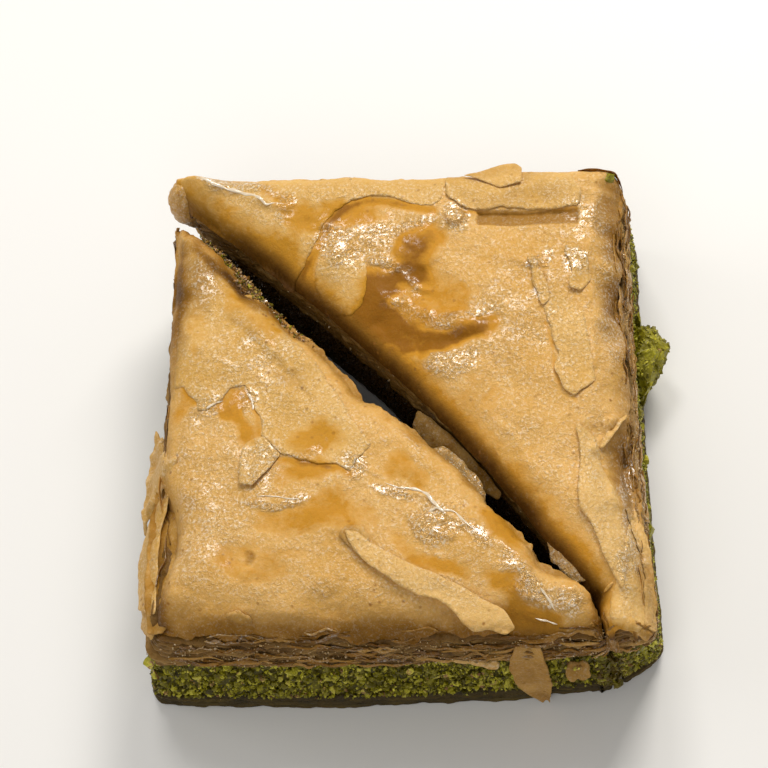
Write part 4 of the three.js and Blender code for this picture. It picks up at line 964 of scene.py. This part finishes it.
def ribbon(bit, seed):
    # A sheet along a line in space, with its own width at each station and a torn edge.
    make = {**ribbonMake, **bit}
    line = np.array(make["line"], float)
    nu, nv = make["along"], make["across"]
    t = np.linspace(0, len(line) - 1, nu)
    k = np.minimum(t.astype(int), len(line) - 2)
    w = (t - k)[:, None]
    padded = np.vstack([2 * line[0] - line[1], line, 2 * line[-1] - line[-2]])
    a, b, c, d = padded[k], padded[k + 1], padded[k + 2], padded[k + 3]
    curve = 0.5 * (2 * b + (c - a) * w + (2 * a - 5 * b + 4 * c - d) * w ** 2 + (3 * b - a - 3 * c + d) * w ** 3)
    along = np.gradient(curve, axis=0)
    along /= np.linalg.norm(along, axis=1)[:, None]
    side = np.array(make["side"], float)
    side = side - (along @ side)[:, None] * along
    side /= np.linalg.norm(side, axis=1)[:, None]
    face = np.cross(along, side)
    width = np.interp(np.linspace(0, 1, nu), np.linspace(0, 1, len(make["widths"])), make["widths"])
    u, s = np.repeat(np.arange(nu), nv), np.tile(np.linspace(-0.5, 0.5, nv), nu)
    tear = make["ragged"] * grain(curve[u] + np.sign(s)[:, None] * 9, 1.2, seed)
    reach = s * width[u] + np.sign(s) * tear * (2 * s) ** 2
    off = make["wave"] * grain(np.c_[u * 0.12, s * 3, 0 * s], 1.0, seed + 3) - make["belly"] * (1 - (2 * s) ** 2)
    mid = curve[u] + side[u] * reach[:, None] + face[u] * off[:, None]
    half = face[u] * make["thick"] / 2
    points, total = np.concatenate([mid + half, mid - half]), len(mid)
    grid = np.arange(total).reshape(nu, nv)
    sheet = np.stack([grid[:-1, :-1], grid[1:, :-1], grid[1:, 1:], grid[:-1, 1:]], -1).reshape(-1, 4)
    border = np.r_[grid[0], grid[1:, -1], grid[-1, -2::-1], grid[-2:0:-1, 0]]
    following = np.roll(border, -1)
    group = [sheet, sheet[:, ::-1] + total, np.c_[border, following, following + total, border + total]]
    p, q, r = points[np.concatenate([part[:, pick] for part in group for pick in ([0, 1, 2], [0, 2, 3])]).T]
    if (p * np.cross(q, r)).sum() < 0:                  # inside out
        group = [part[:, ::-1] for part in group]
    toast = make["toast"] + 0.15 * grain(points, 2.5, seed + 9)
    return points, group, evenMasks(toast, make["syrup"], make["glint"])


tatterMake = {"low": 12.3, "high": 19.8, "shoulder": 17.6, "pull": 0.45, "push": 0.12, "spread": 0.22,
              "tilt": 0.35, "widths": (0.25, 0.9), "points": (6, 26), "toast": (0.38, 0.9), "glint": (0.1, 0.8),
              "strip": {"side": (0.1, -0.1, -1), "across": 4, "ragged": 0.12, "belly": 0.05, "wave": 0.12,
                        "thick": 0.07}}


def tatters(plan, seed):
    # Torn strips of sheet that cling along the pressed sides, so many on each side.
    make, rng, bits = tatterMake, np.random.default_rng(seed), []
    starts = sideStarts(plan, *sideGrid)
    for i, count in enumerate(plan["tatters"]):
        for _ in range(count):
            z = rng.uniform(make["low"], make["high"])
            first, points = rng.integers(starts[i], starts[i + 1]), rng.integers(*make["points"])
            ring = planRing(plan, z / crown, *sideGrid)
            pick = (first + np.linspace(0, points, 5).astype(int)) % len(ring)
            out = make["push"] + rng.uniform(-1, 1, (5, 1)) * make["spread"]
            over = max(0, z - make["shoulder"])         # past the rim they lie on the crust's roll-over
            place = ring[pick] + outward(ring)[pick] * (out - make["pull"] * over)
            tall = topHeight(plan, place) + 0.05 if over else z + rng.uniform(-make["tilt"], make["tilt"], 5)
            wide = rng.uniform(*make["widths"])
            bits.append({**make["strip"], "line": np.c_[place, tall], "along": 8 + int(points),
                         "widths": [0.1, wide, wide * 0.8, wide, 0.1], "toast": rng.uniform(*make["toast"]),
                         "glint": rng.uniform(*make["glint"])})
    return bits


foldMake = {"middle": (-26.2, 29.0, 18.2), "size": (2.6, 2.3, 4.2), "rough": 0.24, "rings": 30, "steps": 44,
            "toast": 0.24, "brownBelow": 0.14, "syrup": 0.25, "glint": 0.6}


def endFold(make, seed):
    # The rounded fold at the back slice's narrow end, browner towards its foot.
    rings, steps, middle = make["rings"], make["steps"], np.array(make["middle"])
    theta = np.linspace(0, math.pi, rings)[1:-1]
    phi = np.arange(steps) / steps * 2 * math.pi
    way = [(math.sin(a) * math.cos(b), math.sin(a) * math.sin(b), math.cos(a)) for a in theta for b in phi]
    way = np.array(way + [(0, 0, 1), (0, 0, -1)])
    place = way * make["size"]
    bump = make["rough"] * (grain(place + middle, 1.3, seed) + 0.7 * grain(place + middle, 0.45, seed + 3))
    points = place + way * bump[:, None] + middle
    group = [loopFaces(steps, rings - 2)[:, ::-1], fanFaces(steps, 0, len(way) - 2),
             fanFaces(steps, (rings - 3) * steps, len(way) - 1, True)]
    browner = make["toast"] + make["brownBelow"] * np.clip(middle[2] - points[:, 2], 0, 5)
    return points, group, evenMasks(browner, make["syrup"], make["glint"])


def lumpCorners(rng, count):                        # corners of a lump about 1 mm in radius
    ways = rng.normal(size=(count, 3))
    return ways / np.linalg.norm(ways, axis=1)[:, None] * rng.uniform(0.72, 1.1, (count, 1))


def hullSolid(corners, cuts=0):                     # the broken lump that its corners span
    mesh = bmesh.new()
    for corner in corners:
        mesh.verts.new(corner)
    bmesh.ops.convex_hull(mesh, input=mesh.verts)
    bmesh.ops.delete(mesh, geom=[v for v in mesh.verts if not v.link_faces], context="VERTS")
    bmesh.ops.triangulate(mesh, faces=mesh.faces)
    if cuts:
        bmesh.ops.subdivide_edges(mesh, edges=mesh.edges, cuts=cuts, use_grid_fill=True)
        bmesh.ops.triangulate(mesh, faces=mesh.faces)
    bmesh.ops.recalc_face_normals(mesh, faces=mesh.faces)
    mesh.verts.index_update()
    points = np.array([v.co for v in mesh.verts])
    faces = np.array([[v.index for v in f.verts] for f in mesh.faces])
    mesh.free()
    return points, faces


def turned(rng, count):                             # turns at random, as matrices
    w, x, y, z = (lambda q: (q / np.linalg.norm(q, axis=1)[:, None]).T)(rng.normal(size=(count, 4)))
    return np.array([[1 - 2 * (y * y + z * z), 2 * (x * y - z * w), 2 * (x * z + y * w)],
                     [2 * (x * y + z * w), 1 - 2 * (x * x + z * z), 2 * (y * z - x * w)],
                     [2 * (x * z - y * w), 2 * (y * z + x * w), 1 - 2 * (x * x + y * y)]]).transpose(2, 0, 1)


def scattered(centres, radii, masks, shapes, rng, flat=1.0):
    # Copies of the shapes at the centres, each turned and squashed at random.
    which, turns = rng.integers(len(shapes), size=len(centres)), turned(rng, len(centres))
    squash = rng.uniform(0.7, 1.25, (len(centres), 3))
    squash[:, 2] *= flat
    parts = []
    for s, (points, faces) in enumerate(shapes):
        mine = np.flatnonzero(which == s)
        if not len(mine):
            continue
        scaled = points[None] * (squash[mine] * radii[mine][:, None])[:, None]
        placed = np.einsum("nij,nvj->nvi", turns[mine], scaled) + centres[mine][:, None]
        many = faces[None] + (np.arange(len(mine)) * len(points))[:, None, None]
        parts.append((placed.reshape(-1, 3), [many.reshape(-1, 3)],
                      {label: np.repeat(value[mine], len(points)) for label, value in masks.items()}))
    return parts


# Each grade: radius in mm, how many per 100 square mm of side, how far out the middles lie
nutMake = {"coreInset": 0.72, "coreRough": 0.22, "coreKind": 0.16, "levels": 20, "stray": 0.2, "high": 0.3,
           "grades": [(0.85, 20, -0.5), (0.55, 75, -0.36), (0.34, 190, -0.24), (0.22, 230, -0.12)],
           "large": 15, "small": 9, "shapes": 10, "palest": (0.84, 0.94), "skins": (0.97, 1.0)}
shapeDraw = np.random.default_rng(5)
nutShapes = {label: [hullSolid(lumpCorners(shapeDraw, nutMake[label])) for _ in range(nutMake["shapes"])]
             for label in ("large", "small")}


def nutKinds(rng, count):                           # mostly green, a few pale ones and bits of brown skin
    kinds = np.clip(rng.beta(2.0, 2.3, count) + 0.06, 0, 0.9)
    draw = rng.uniform(size=count)
    for some, span in ((draw < 0.08, nutMake["palest"]), (draw > 0.96, nutMake["skins"])):
        kinds[some] = rng.uniform(*span, some.sum())
    return kinds


def fillingSolid(plan, seed):
    # A core with an uneven side, then ground nuts all round it.
    make, rng = nutMake, np.random.default_rng(seed)
    levels, loops = np.linspace(baseTop, fillingTop, make["levels"]), []
    for z in levels:
        ring = planRing(plan, z / crown, *coreGrid)
        inset = make["coreInset"] - make["coreRough"] * grain(np.c_[ring, np.full(len(ring), z)], 1.3, seed)
        loops.append(np.c_[ring - outward(ring) * inset[:, None], np.full(len(ring), z)])
    n = len(loops[0])
    core = np.concatenate([*loops, [[*plan["middle"], baseTop], [*plan["middle"], fillingTop]]])
    group = [loopFaces(n, len(levels)), fanFaces(n, 0, len(core) - 2, True),
             fanFaces(n, n * (len(levels) - 1), len(core) - 1)]
    parts = [(core, group, {"kind": np.clip(make["coreKind"] + 0.1 * grain(core, 1.0, seed + 1), 0, 1),
                            "gloom": np.r_[np.tile(bySide(plan, "cut", *coreGrid), len(levels)), 0, 0]})]
    low, high = (planRing(plan, z / crown, *sideGrid) for z in (baseTop, fillingTop))
    away, cut = outward(planRing(plan, 0.35, *sideGrid)), bySide(plan, "cut", *sideGrid)
    area = np.linalg.norm(np.roll(low, -1, 0) - low, axis=1).sum() * (fillingTop - baseTop)
    for size, per, out in make["grades"]:
        count = int(area / 100 * per)
        spot, radii = rng.integers(len(low), size=count), size * rng.uniform(0.6, 1.15, count)
        z = rng.uniform(baseTop, fillingTop + make["high"], count)
        z = np.clip(z, baseTop + radii * 0.6, fillingTop + 0.2)
        share = ((z - baseTop) / (fillingTop - baseTop))[:, None]
        place = low[spot] * (1 - share) + high[spot] * share
        place += away[spot] * (out + rng.uniform(-make["stray"], make["stray"], count) - 0.25 * radii)[:, None]
        masks = {"kind": nutKinds(rng, count), "gloom": cut[spot]}
        parts += scattered(np.c_[place, z], radii, masks, nutShapes["large" if size > 0.5 else "small"], rng)
    return parts


bottomMake = {"count": 5, "grid": bandGrid, "bury": 1.4, "fill": 0.8, "ragged": 0.26, "fine": 0.16, "wave": 0.07,
              "chip": 0.5}
bottomBody = [(0.0, 1.3), (0.35, 0.95), (1.2, 0.9), (baseTop, 0.9)]      # height, how far in


def bottomSolid(plan, seed):
    # The sheets under the nuts: a flat underside, a body and a few torn bands round it.
    ring = planRing(plan, 0.02, *footGrid)
    away = ring - plan["middle"]
    away /= np.linalg.norm(away, axis=1)[:, None]
    loops = [np.c_[ring - away * inward, np.full(len(ring), z)] for z, inward in bottomBody]
    flat, faces, n = filledPlan(loops[0][:, :2], 0.7, seed)
    start = len(flat)
    points = np.concatenate([np.c_[flat, 0 * flat[:, 0]], *loops[1:], [[*plan["middle"], baseTop]]])
    group = [faces[:, ::-1], bandFaces(n, 0, start), loopFaces(n, len(loops) - 1, start),
             fanFaces(n, start + 2 * n, len(points) - 1)]
    proud = 0.45 + 0.35 * grain(points, 4.0, seed) + 0.15 * grain(points, 0.9, seed + 2)
    parts = [(points, group, {"proud": np.clip(proud, 0, 1), "toast": np.full(len(points), 0.1)})]
    return parts + sheetBands(plan, 0.12, baseTop, seed, bottomMake)


def makeSlice(side, plan, sheets, ribbons, folds, seed):
    crust, filling, base = (f"{side}_{part}" for part in ("crust", "filling", "base"))
    parts = [crustSolid(plan, seed)] + [endFold(make, seed + 40 + k) for k, make in enumerate(folds)]
    addPiece(f"{side}Crust", parts, crustFinish, (crust,))
    rim = topHeight(plan, planRing(plan, 1, *bandGrid))
    parts = sheetBands(plan, fillingTop + bandMake["over"], rim - bandMake["below"], seed + 200, bandMake)
    addPiece(f"{side}Layers", parts, edgeFinish)
    bits = [tornSheet(plan, bit, seed + 300 + 17 * k, seed) for k, bit in enumerate(sheets.values())]
    bits += [ribbon(bit, seed + 600 + k) for k, bit in enumerate(ribbons + tatters(plan, seed))]
    addPiece(f"{side}Sheets", bits, crustFinish)
    addPiece(f"{side}Filling", fillingSolid(plan, seed + 700), pistachioFinish, (filling,), False)
    addPiece(f"{side}Base", bottomSolid(plan, seed + 900), bottomFinish, (base,))
    print(side, "slice made")


sliceSeeds = {"back": 11, "front": 57}
makeSlice("back", backPlan, backSheets, backDrapes, [foldMake], sliceSeeds["back"])
makeSlice("front", frontPlan, frontSheets, frontDrapes, [], sliceSeeds["front"])


# The big chunk that sticks out on the right, by the corners of its broken faces, and the grains that cling to it
chunkMake = {
    "corners": [(32.8, 12.7, 6.6), (30.9, 15.2, 7.2), (28.4, 16.2, 6.2), (31.4, 9.2, 5.4), (29.2, 6.4, 5.2),
                (29.8, 13.4, 9.6), (28.6, 9.6, 8.9), (31.0, 11.2, 8.8), (30.4, 12.6, 2.4), (29.2, 8.8, 2.6),
                (28.4, 14.2, 2.8), (26.4, 12.0, 6.0), (31.6, 13.9, 4.6), (30.2, 7.4, 7.4)],
    "cuts": 9, "rough": 0.30, "kind": 0.62, "grains": 420, "grainSize": (0.14, 0.42), "grainKind": (0.3, 0.93),
}
# Smaller loose bits: corners and cuts of each, then their middles, sizes and kinds
looseMake = {"corners": 11, "cuts": 2, "rough": 0.10}
looseNuts = [
    ((29.4, 7.0, 4.0), (1.0, 1.5, 1.4), 0.55), ((29.2, 16.2, 7.2), (0.9, 1.2, 1.2), 0.60),
    ((12.8, -29.3, 8.8), (0.95, 0.8, 1.05), 0.86), ((25.6, 28.7, 20.9), (1.3, 0.9, 0.7), 0.56),
    ((24.2, 28.9, 21.2), (0.8, 0.7, 0.5), 0.62), ((28.2, 20.2, 13.2), (0.7, 0.9, 0.9), 0.62),
    ((27.9, 18.8, 13.0), (0.6, 0.8, 0.8), 0.5), ((28.9, 2.6, 9.2), (0.7, 1.1, 0.9), 0.55),
    ((29.6, -10.2, 9.6), (0.7, 1.2, 1.1), 0.72), ((29.8, -11.8, 7.6), (0.7, 1.3, 1.3), 0.80),
    ((29.7, -13.6, 9.2), (0.6, 0.9, 0.8), 0.6), ((-28.9, -28.3, 9.6), (0.8, 0.9, 0.9), 0.9),
    ((-28.5, -29.4, 8.2), (0.6, 0.6, 0.6), 0.98), ((29.7, -4.2, 10.6), (0.5, 0.7, 0.6), 0.7),
    ((-12.0, -29.9, 10.2), (0.7, 0.5, 0.6), 0.85),
    ((2.0, -30.1, 10.4), (0.5, 0.5, 0.5), 0.92), ((21.6, -30.0, 10.6), (0.9, 0.4, 0.7), 0.98),
]


def roughened(points, centre, rough, seed):         # pushes a lump's surface in and out
    way = points - centre
    way /= np.linalg.norm(way, axis=1)[:, None] + 1e-9
    return points + way * (rough * (grain(points, 1.2, seed) + 0.8 * grain(points, 0.5, seed + 3)))[:, None]


rng = np.random.default_rng(31)
rocks = [(*hullSolid(chunkMake["corners"], chunkMake["cuts"]), chunkMake["rough"], chunkMake["kind"])]
for centre, size, kind in looseNuts:
    corners = lumpCorners(rng, looseMake["corners"]) * size + centre
    rocks.append((*hullSolid(corners, looseMake["cuts"]), looseMake["rough"] * (1 + min(size)), kind))
lumpParts = []
for k, (points, faces, rough, kind) in enumerate(rocks):
    points = roughened(points, points.mean(0), rough, 800 + k)
    kinds = np.clip(kind + 0.3 * grain(points, 0.9, 820 + k), 0.1, 0.94 if kind < 0.95 else 1)     # 1 is skin
    lumpParts.append((points, [faces], {"kind": kinds, "gloom": np.zeros(len(points))}))
count = chunkMake["grains"]
spots = rng.choice(lumpParts[0][0], count)
radii = rng.uniform(*chunkMake["grainSize"], count) * rng.uniform(0.6, 1, count)
masks = {"kind": rng.uniform(*chunkMake["grainKind"], count), "gloom": np.zeros(count)}
lumpParts += scattered(spots, radii, masks, nutShapes["small"], rng)
addPiece("looseNuts", lumpParts, pistachioFinish, (), False)


def alongLine(rng, line, stray, count):             # places at random beside a line
    share, line = rng.uniform(0, len(line) - 1, count), np.array(line)
    k = share.astype(int)
    return line[k] + (line[k + 1] - line[k]) * (share - k)[:, None] + rng.uniform(-1, 1, (count, 3)) * stray


# Crumbs of nut that lie along a line: its points, how far they stray, how many, radius, kinds,
# painted shade of the gap, seed
trailMake = {
    "nearEnd": ([(24.6, -28.0, 1.4), (24.6, -28.0, 10.6)], (1.4, 1.2, 0.5), 260, 0.5, (0.1, 0.6), 0.55, 49),
    "nearTop": ([(24.3, -27.6, 11.0), (24.3, -27.6, 14.2)], (0.8, 1.0, 0.4), 70, 0.36, (0.2, 1.0), 0.3, 49),
    "farEnd": ([(-26.9, 26.0, 1.4), (-26.9, 26.0, 12.0)], (0.9, 1.4, 0.5), 180, 0.45, (0.1, 0.6), 0.6, 42),
    "leftFoot": ([(-29.6, -26.0, 11.4), (-29.4, -16.0, 11.6)], (0.3, 0.4, 0.4), 24, 0.3, (0.5, 1.0), 0.0, 56),
    "cutRim": ([(-23.8, 22.4, 19.8), (-21.1, 19.5, 19.7), (-18.4, 16.7, 19.6), (-15.8, 13.4, 19.6),
                (-12.9, 10.1, 19.6), (-9.6, 7.2, 19.6)], (0.6, 0.6, 0.4), 380, 0.3, (0.15, 1.0), 0.4, 42),
}
trailParts = []
for line, stray, count, size, kinds, gloom, seed in trailMake.values():
    rng = np.random.default_rng(seed)
    masks = {"kind": rng.uniform(*kinds, count), "gloom": gloom * rng.uniform(0.5, 1.4, count)}
    trailParts += scattered(alongLine(rng, line, stray, count), size * rng.uniform(0.6, 1.25, count), masks,
                            nutShapes["small"], rng)
addPiece("looseCrumbs", trailParts, pistachioFinish, (), False)

# Crumbs of sheet along the rim of the cut
filoMake = {
    "line": [(-23.8, 22.3, 19.9), (-21.1, 19.4, 19.8), (-18.4, 16.6, 19.7), (-15.8, 13.3, 19.7),
             (-12.9, 10.0, 19.7), (-9.6, 7.1, 19.7)],
    "stray": (0.7, 0.7, 0.35), "count": 900, "size": 0.28, "flat": 0.6, "seed": 30,
    "masks": {"toast": (0.30, 0.85), "syrup": (0, 0.4), "glint": (0.6, 1.2), "tone": (-0.1, 0.2)},
}
rng, count = np.random.default_rng(filoMake["seed"]), filoMake["count"]
masks = {label: rng.uniform(*span, count) for label, span in filoMake["masks"].items()}
spots = alongLine(rng, filoMake["line"], filoMake["stray"], count)
radii = filoMake["size"] * rng.uniform(0.5, 1.3, count)
filoParts = scattered(spots, radii, masks, nutShapes["small"], rng, filoMake["flat"])
addPiece("filoCrumbs", filoParts, crustFinish, (), False)


# Beads of syrup that sit on the pressed sheets: how many on each side, seed
beadCounts = [(backPlan, [50, 20, 20, 380, 40, 0], 21), (frontPlan, [480, 20, 90, 20, 40], 22)]
beadMake = {"low": 0.4, "high": 18.2, "ringsTo": 18.4, "rings": 12, "size": (0.08, 0.19), "out": (-0.15, 0.2),
            "corners": 22, "squash": (1, 1, 0.75), "shapes": 4}
rng = np.random.default_rng(9)
beadShapes = [hullSolid(lumpCorners(rng, beadMake["corners"]) * beadMake["squash"])
              for _ in range(beadMake["shapes"])]
beadParts, last = [], beadMake["rings"] - 1
for plan, counts, seed in beadCounts:
    rng, starts = np.random.default_rng(seed), sideStarts(plan, *sideGrid)
    heights = np.linspace(fillingTop, beadMake["ringsTo"], beadMake["rings"])
    rings = np.array([planRing(plan, z / crown, *sideGrid) for z in heights])
    away = outward(planRing(plan, 0.7, *sideGrid))
    for i, count in enumerate(counts):
        spot = rng.integers(starts[i], starts[i + 1], size=count)
        z = rng.uniform(fillingTop + beadMake["low"], beadMake["high"], count)
        level = ((z - fillingTop) / (beadMake["ringsTo"] - fillingTop) * last).round().astype(int)
        place = rings[level, spot] + away[spot] * rng.uniform(*beadMake["out"], count)[:, None]
        beadParts += scattered(np.c_[place, z], rng.uniform(*beadMake["size"], count), {}, beadShapes, rng)
addPiece("syrupBeads", beadParts, beadFinish, (), False)

# Threads of syrup on the crust, near white as painted highlights: points over the tray, half width
backThreads = [([(-25.0, 30.1), (-23.0, 28.9), (-19.8, 27.7), (-17.3, 26.7), (-15.3, 25.4), (-13.2, 25.5)], 0.17)]
frontThreads = [
    ([(0.1, -11.5), (1.8, -12.2), (3.4, -12.1), (5.1, -13.0), (6.0, -14.2), (6.6, -15.1), (8.4, -15.5),
      (9.4, -16.7), (10.9, -18.3)], 0.16), ([(5.2, -15.4), (6.2, -14.9), (7.2, -15.6)], 0.2),
    ([(-21.4, -1.7), (-20.4, -0.9), (-19.4, -0.6)], 0.12), ([(-16.6, 0.4), (-16.1, -0.5), (-15.7, -2.0)], 0.14),
    ([(-14.6, -13.1), (-12.1, -13.3), (-9.4, -13.5)], 0.1),
    ([(18.0, -24.3), (18.8, -25.7), (19.6, -27.0)], 0.13), ([(17.1, -27.3), (18.4, -27.7), (19.8, -28.2)], 0.12),
]
threadMake = {"step": 0.16, "stray": 0.22, "lumpy": 0.9, "round": 10, "flat": 0.5, "proud": 0.05}


def evened(values):                                 # each takes its neighbours' mean, three times over
    for _ in range(3):
        values[1:-1] = (values[:-2] + values[1:-1] + values[2:]) / 3
    return values


def threadSolid(plan, line, half, relief, seed):
    # Half sunk into the crust, lumpy, and thinner towards both ends.
    make, line = threadMake, np.array(line, float)
    gone = np.r_[0, np.cumsum(np.linalg.norm(np.diff(line, axis=0), axis=1))]
    t = np.linspace(0, gone[-1], max(10, int(gone[-1] / make["step"])))
    path = np.c_[np.interp(t, gone, line[:, 0]), np.interp(t, gone, line[:, 1])]
    path = evened(path + make["stray"] * np.c_[grain(path, 1.1, seed), grain(path, 1.1, seed + 1)])
    along = np.gradient(path, axis=0)
    across = np.c_[-along[:, 1], along[:, 0]] / np.linalg.norm(along, axis=1)[:, None]
    ends = smooth(np.minimum(t, t[-1] - t) / t[-1], -0.05, 0.22)
    width = half * ends * (1 + make["lumpy"] * grain(path, 0.9, seed + 2))
    ground = evened(topHeight(plan, path) + crinkle(plan, path, relief) + make["proud"])
    n = make["round"]
    turn = np.arange(n) / n * 2 * math.pi
    spots = path[:, None] + across[:, None] * (width[:, None] * np.cos(turn))[..., None]
    z = ground[:, None] + make["flat"] * width[:, None] * np.sin(turn)
    points = np.concatenate([spots.reshape(-1, 2), z.reshape(-1, 1)], 1)
    cap = np.arange(n)[None]
    return points, [loopFaces(n, len(path)), cap[:, ::-1], n * (len(path) - 1) + cap], {}


threads = [threadSolid(plan, line, half, sliceSeeds[side], sliceSeeds[side] + 3 * k)
           for side, plan, lines in (("back", backPlan, backThreads), ("front", frontPlan, frontThreads))
           for k, (line, half) in enumerate(lines)]
addPiece("syrupHighlightThreads", threads, threadFinish)
print("crumbs and syrup placed")


floorMake = {"size": 3.0, "colour": (0.86, 0.85, 0.83), "darker": 0.985, "roughness": 0.6}
bpy.ops.mesh.primitive_plane_add(size=floorMake["size"])
floor = bpy.context.object
floor.name = "floor"
paper = Finish("palePaper")
floor.data.materials.append(paper.set(
    Base_Color=paper.mix(paper.noise(40, 2), floorMake["colour"],
                         tuple(c * floorMake["darker"] for c in floorMake["colour"])),
    Roughness=floorMake["roughness"]))

# Where each lamp stands from the tray's middle, in metres, its size and its power in watts
lightMake = {
    "key": {"way": (0.26, 0.66, 0.70), "far": 0.55, "size": 0.19, "power": 1.95, "colour": (1.0, 0.965, 0.91)},
    "spark": {"way": (-0.10, 0.48, 0.87), "far": 0.6, "size": 0.14, "power": 0.8, "colour": (1.0, 0.98, 0.95)},
    "fill": {"way": (-0.05, -0.60, 0.80), "far": 0.7, "size": 0.5, "power": 0.95, "colour": (1.0, 0.98, 0.95)},
    "left": {"way": (-0.9, 0.1, 0.5), "far": 0.6, "size": 0.4, "power": 0.7, "colour": (1.0, 0.98, 0.95)},
}
for label, light in lightMake.items():
    lamp = bpy.data.lights.new(label, "AREA")
    lamp.energy, lamp.size, lamp.color = light["power"], light["size"], light["colour"]
    holder = bpy.data.objects.new(label, lamp)
    bpy.context.scene.collection.objects.link(holder)
    way = Vector(light["way"]).normalized()
    holder.location = way * light["far"]
    holder.rotation_euler = way.to_track_quat("Z", "Y").to_euler()

worldMake = {"Color": (1.0, 0.985, 0.955, 1), "Strength": 0.27}
world = bpy.data.worlds.new("softRoom")
bpy.context.scene.world = world
world.use_nodes = True
for label, value in worldMake.items():
    world.node_tree.nodes["Background"].inputs[label].default_value = value
bpy.context.scene.view_settings.view_transform = "Standard"

cameraMake = {"elevation": 63, "azimuth": 16.2, "roll": -16.1, "distance": 297, "aim": (-2.15, 7.2, 10),
              "lens": 113.4375, "sensor": 36}
e, a, r = (math.radians(cameraMake[key]) for key in ("elevation", "azimuth", "roll"))
back = Vector((math.sin(a) * math.cos(e), -math.cos(a) * math.cos(e), math.sin(e)))
right = Vector((math.cos(a), math.sin(a), 0))
up = back.cross(right)
turnedRight = math.cos(r) * right + math.sin(r) * up
turnedUp = -math.sin(r) * right + math.cos(r) * up
spot = Vector(toFrame([cameraMake["aim"]])[0]) + back * cameraMake["distance"] / 1000
lens = bpy.data.cameras.new("camera")
lens.lens, lens.sensor_width, lens.clip_start = cameraMake["lens"], cameraMake["sensor"], 0.01
camera = bpy.data.objects.new("camera", lens)
bpy.context.scene.collection.objects.link(camera)
camera.matrix_world = Matrix.Translation(spot) @ Matrix((turnedRight, turnedUp, back)).transposed().to_4x4()
bpy.context.scene.camera = camera
print("floor, lights and camera set")
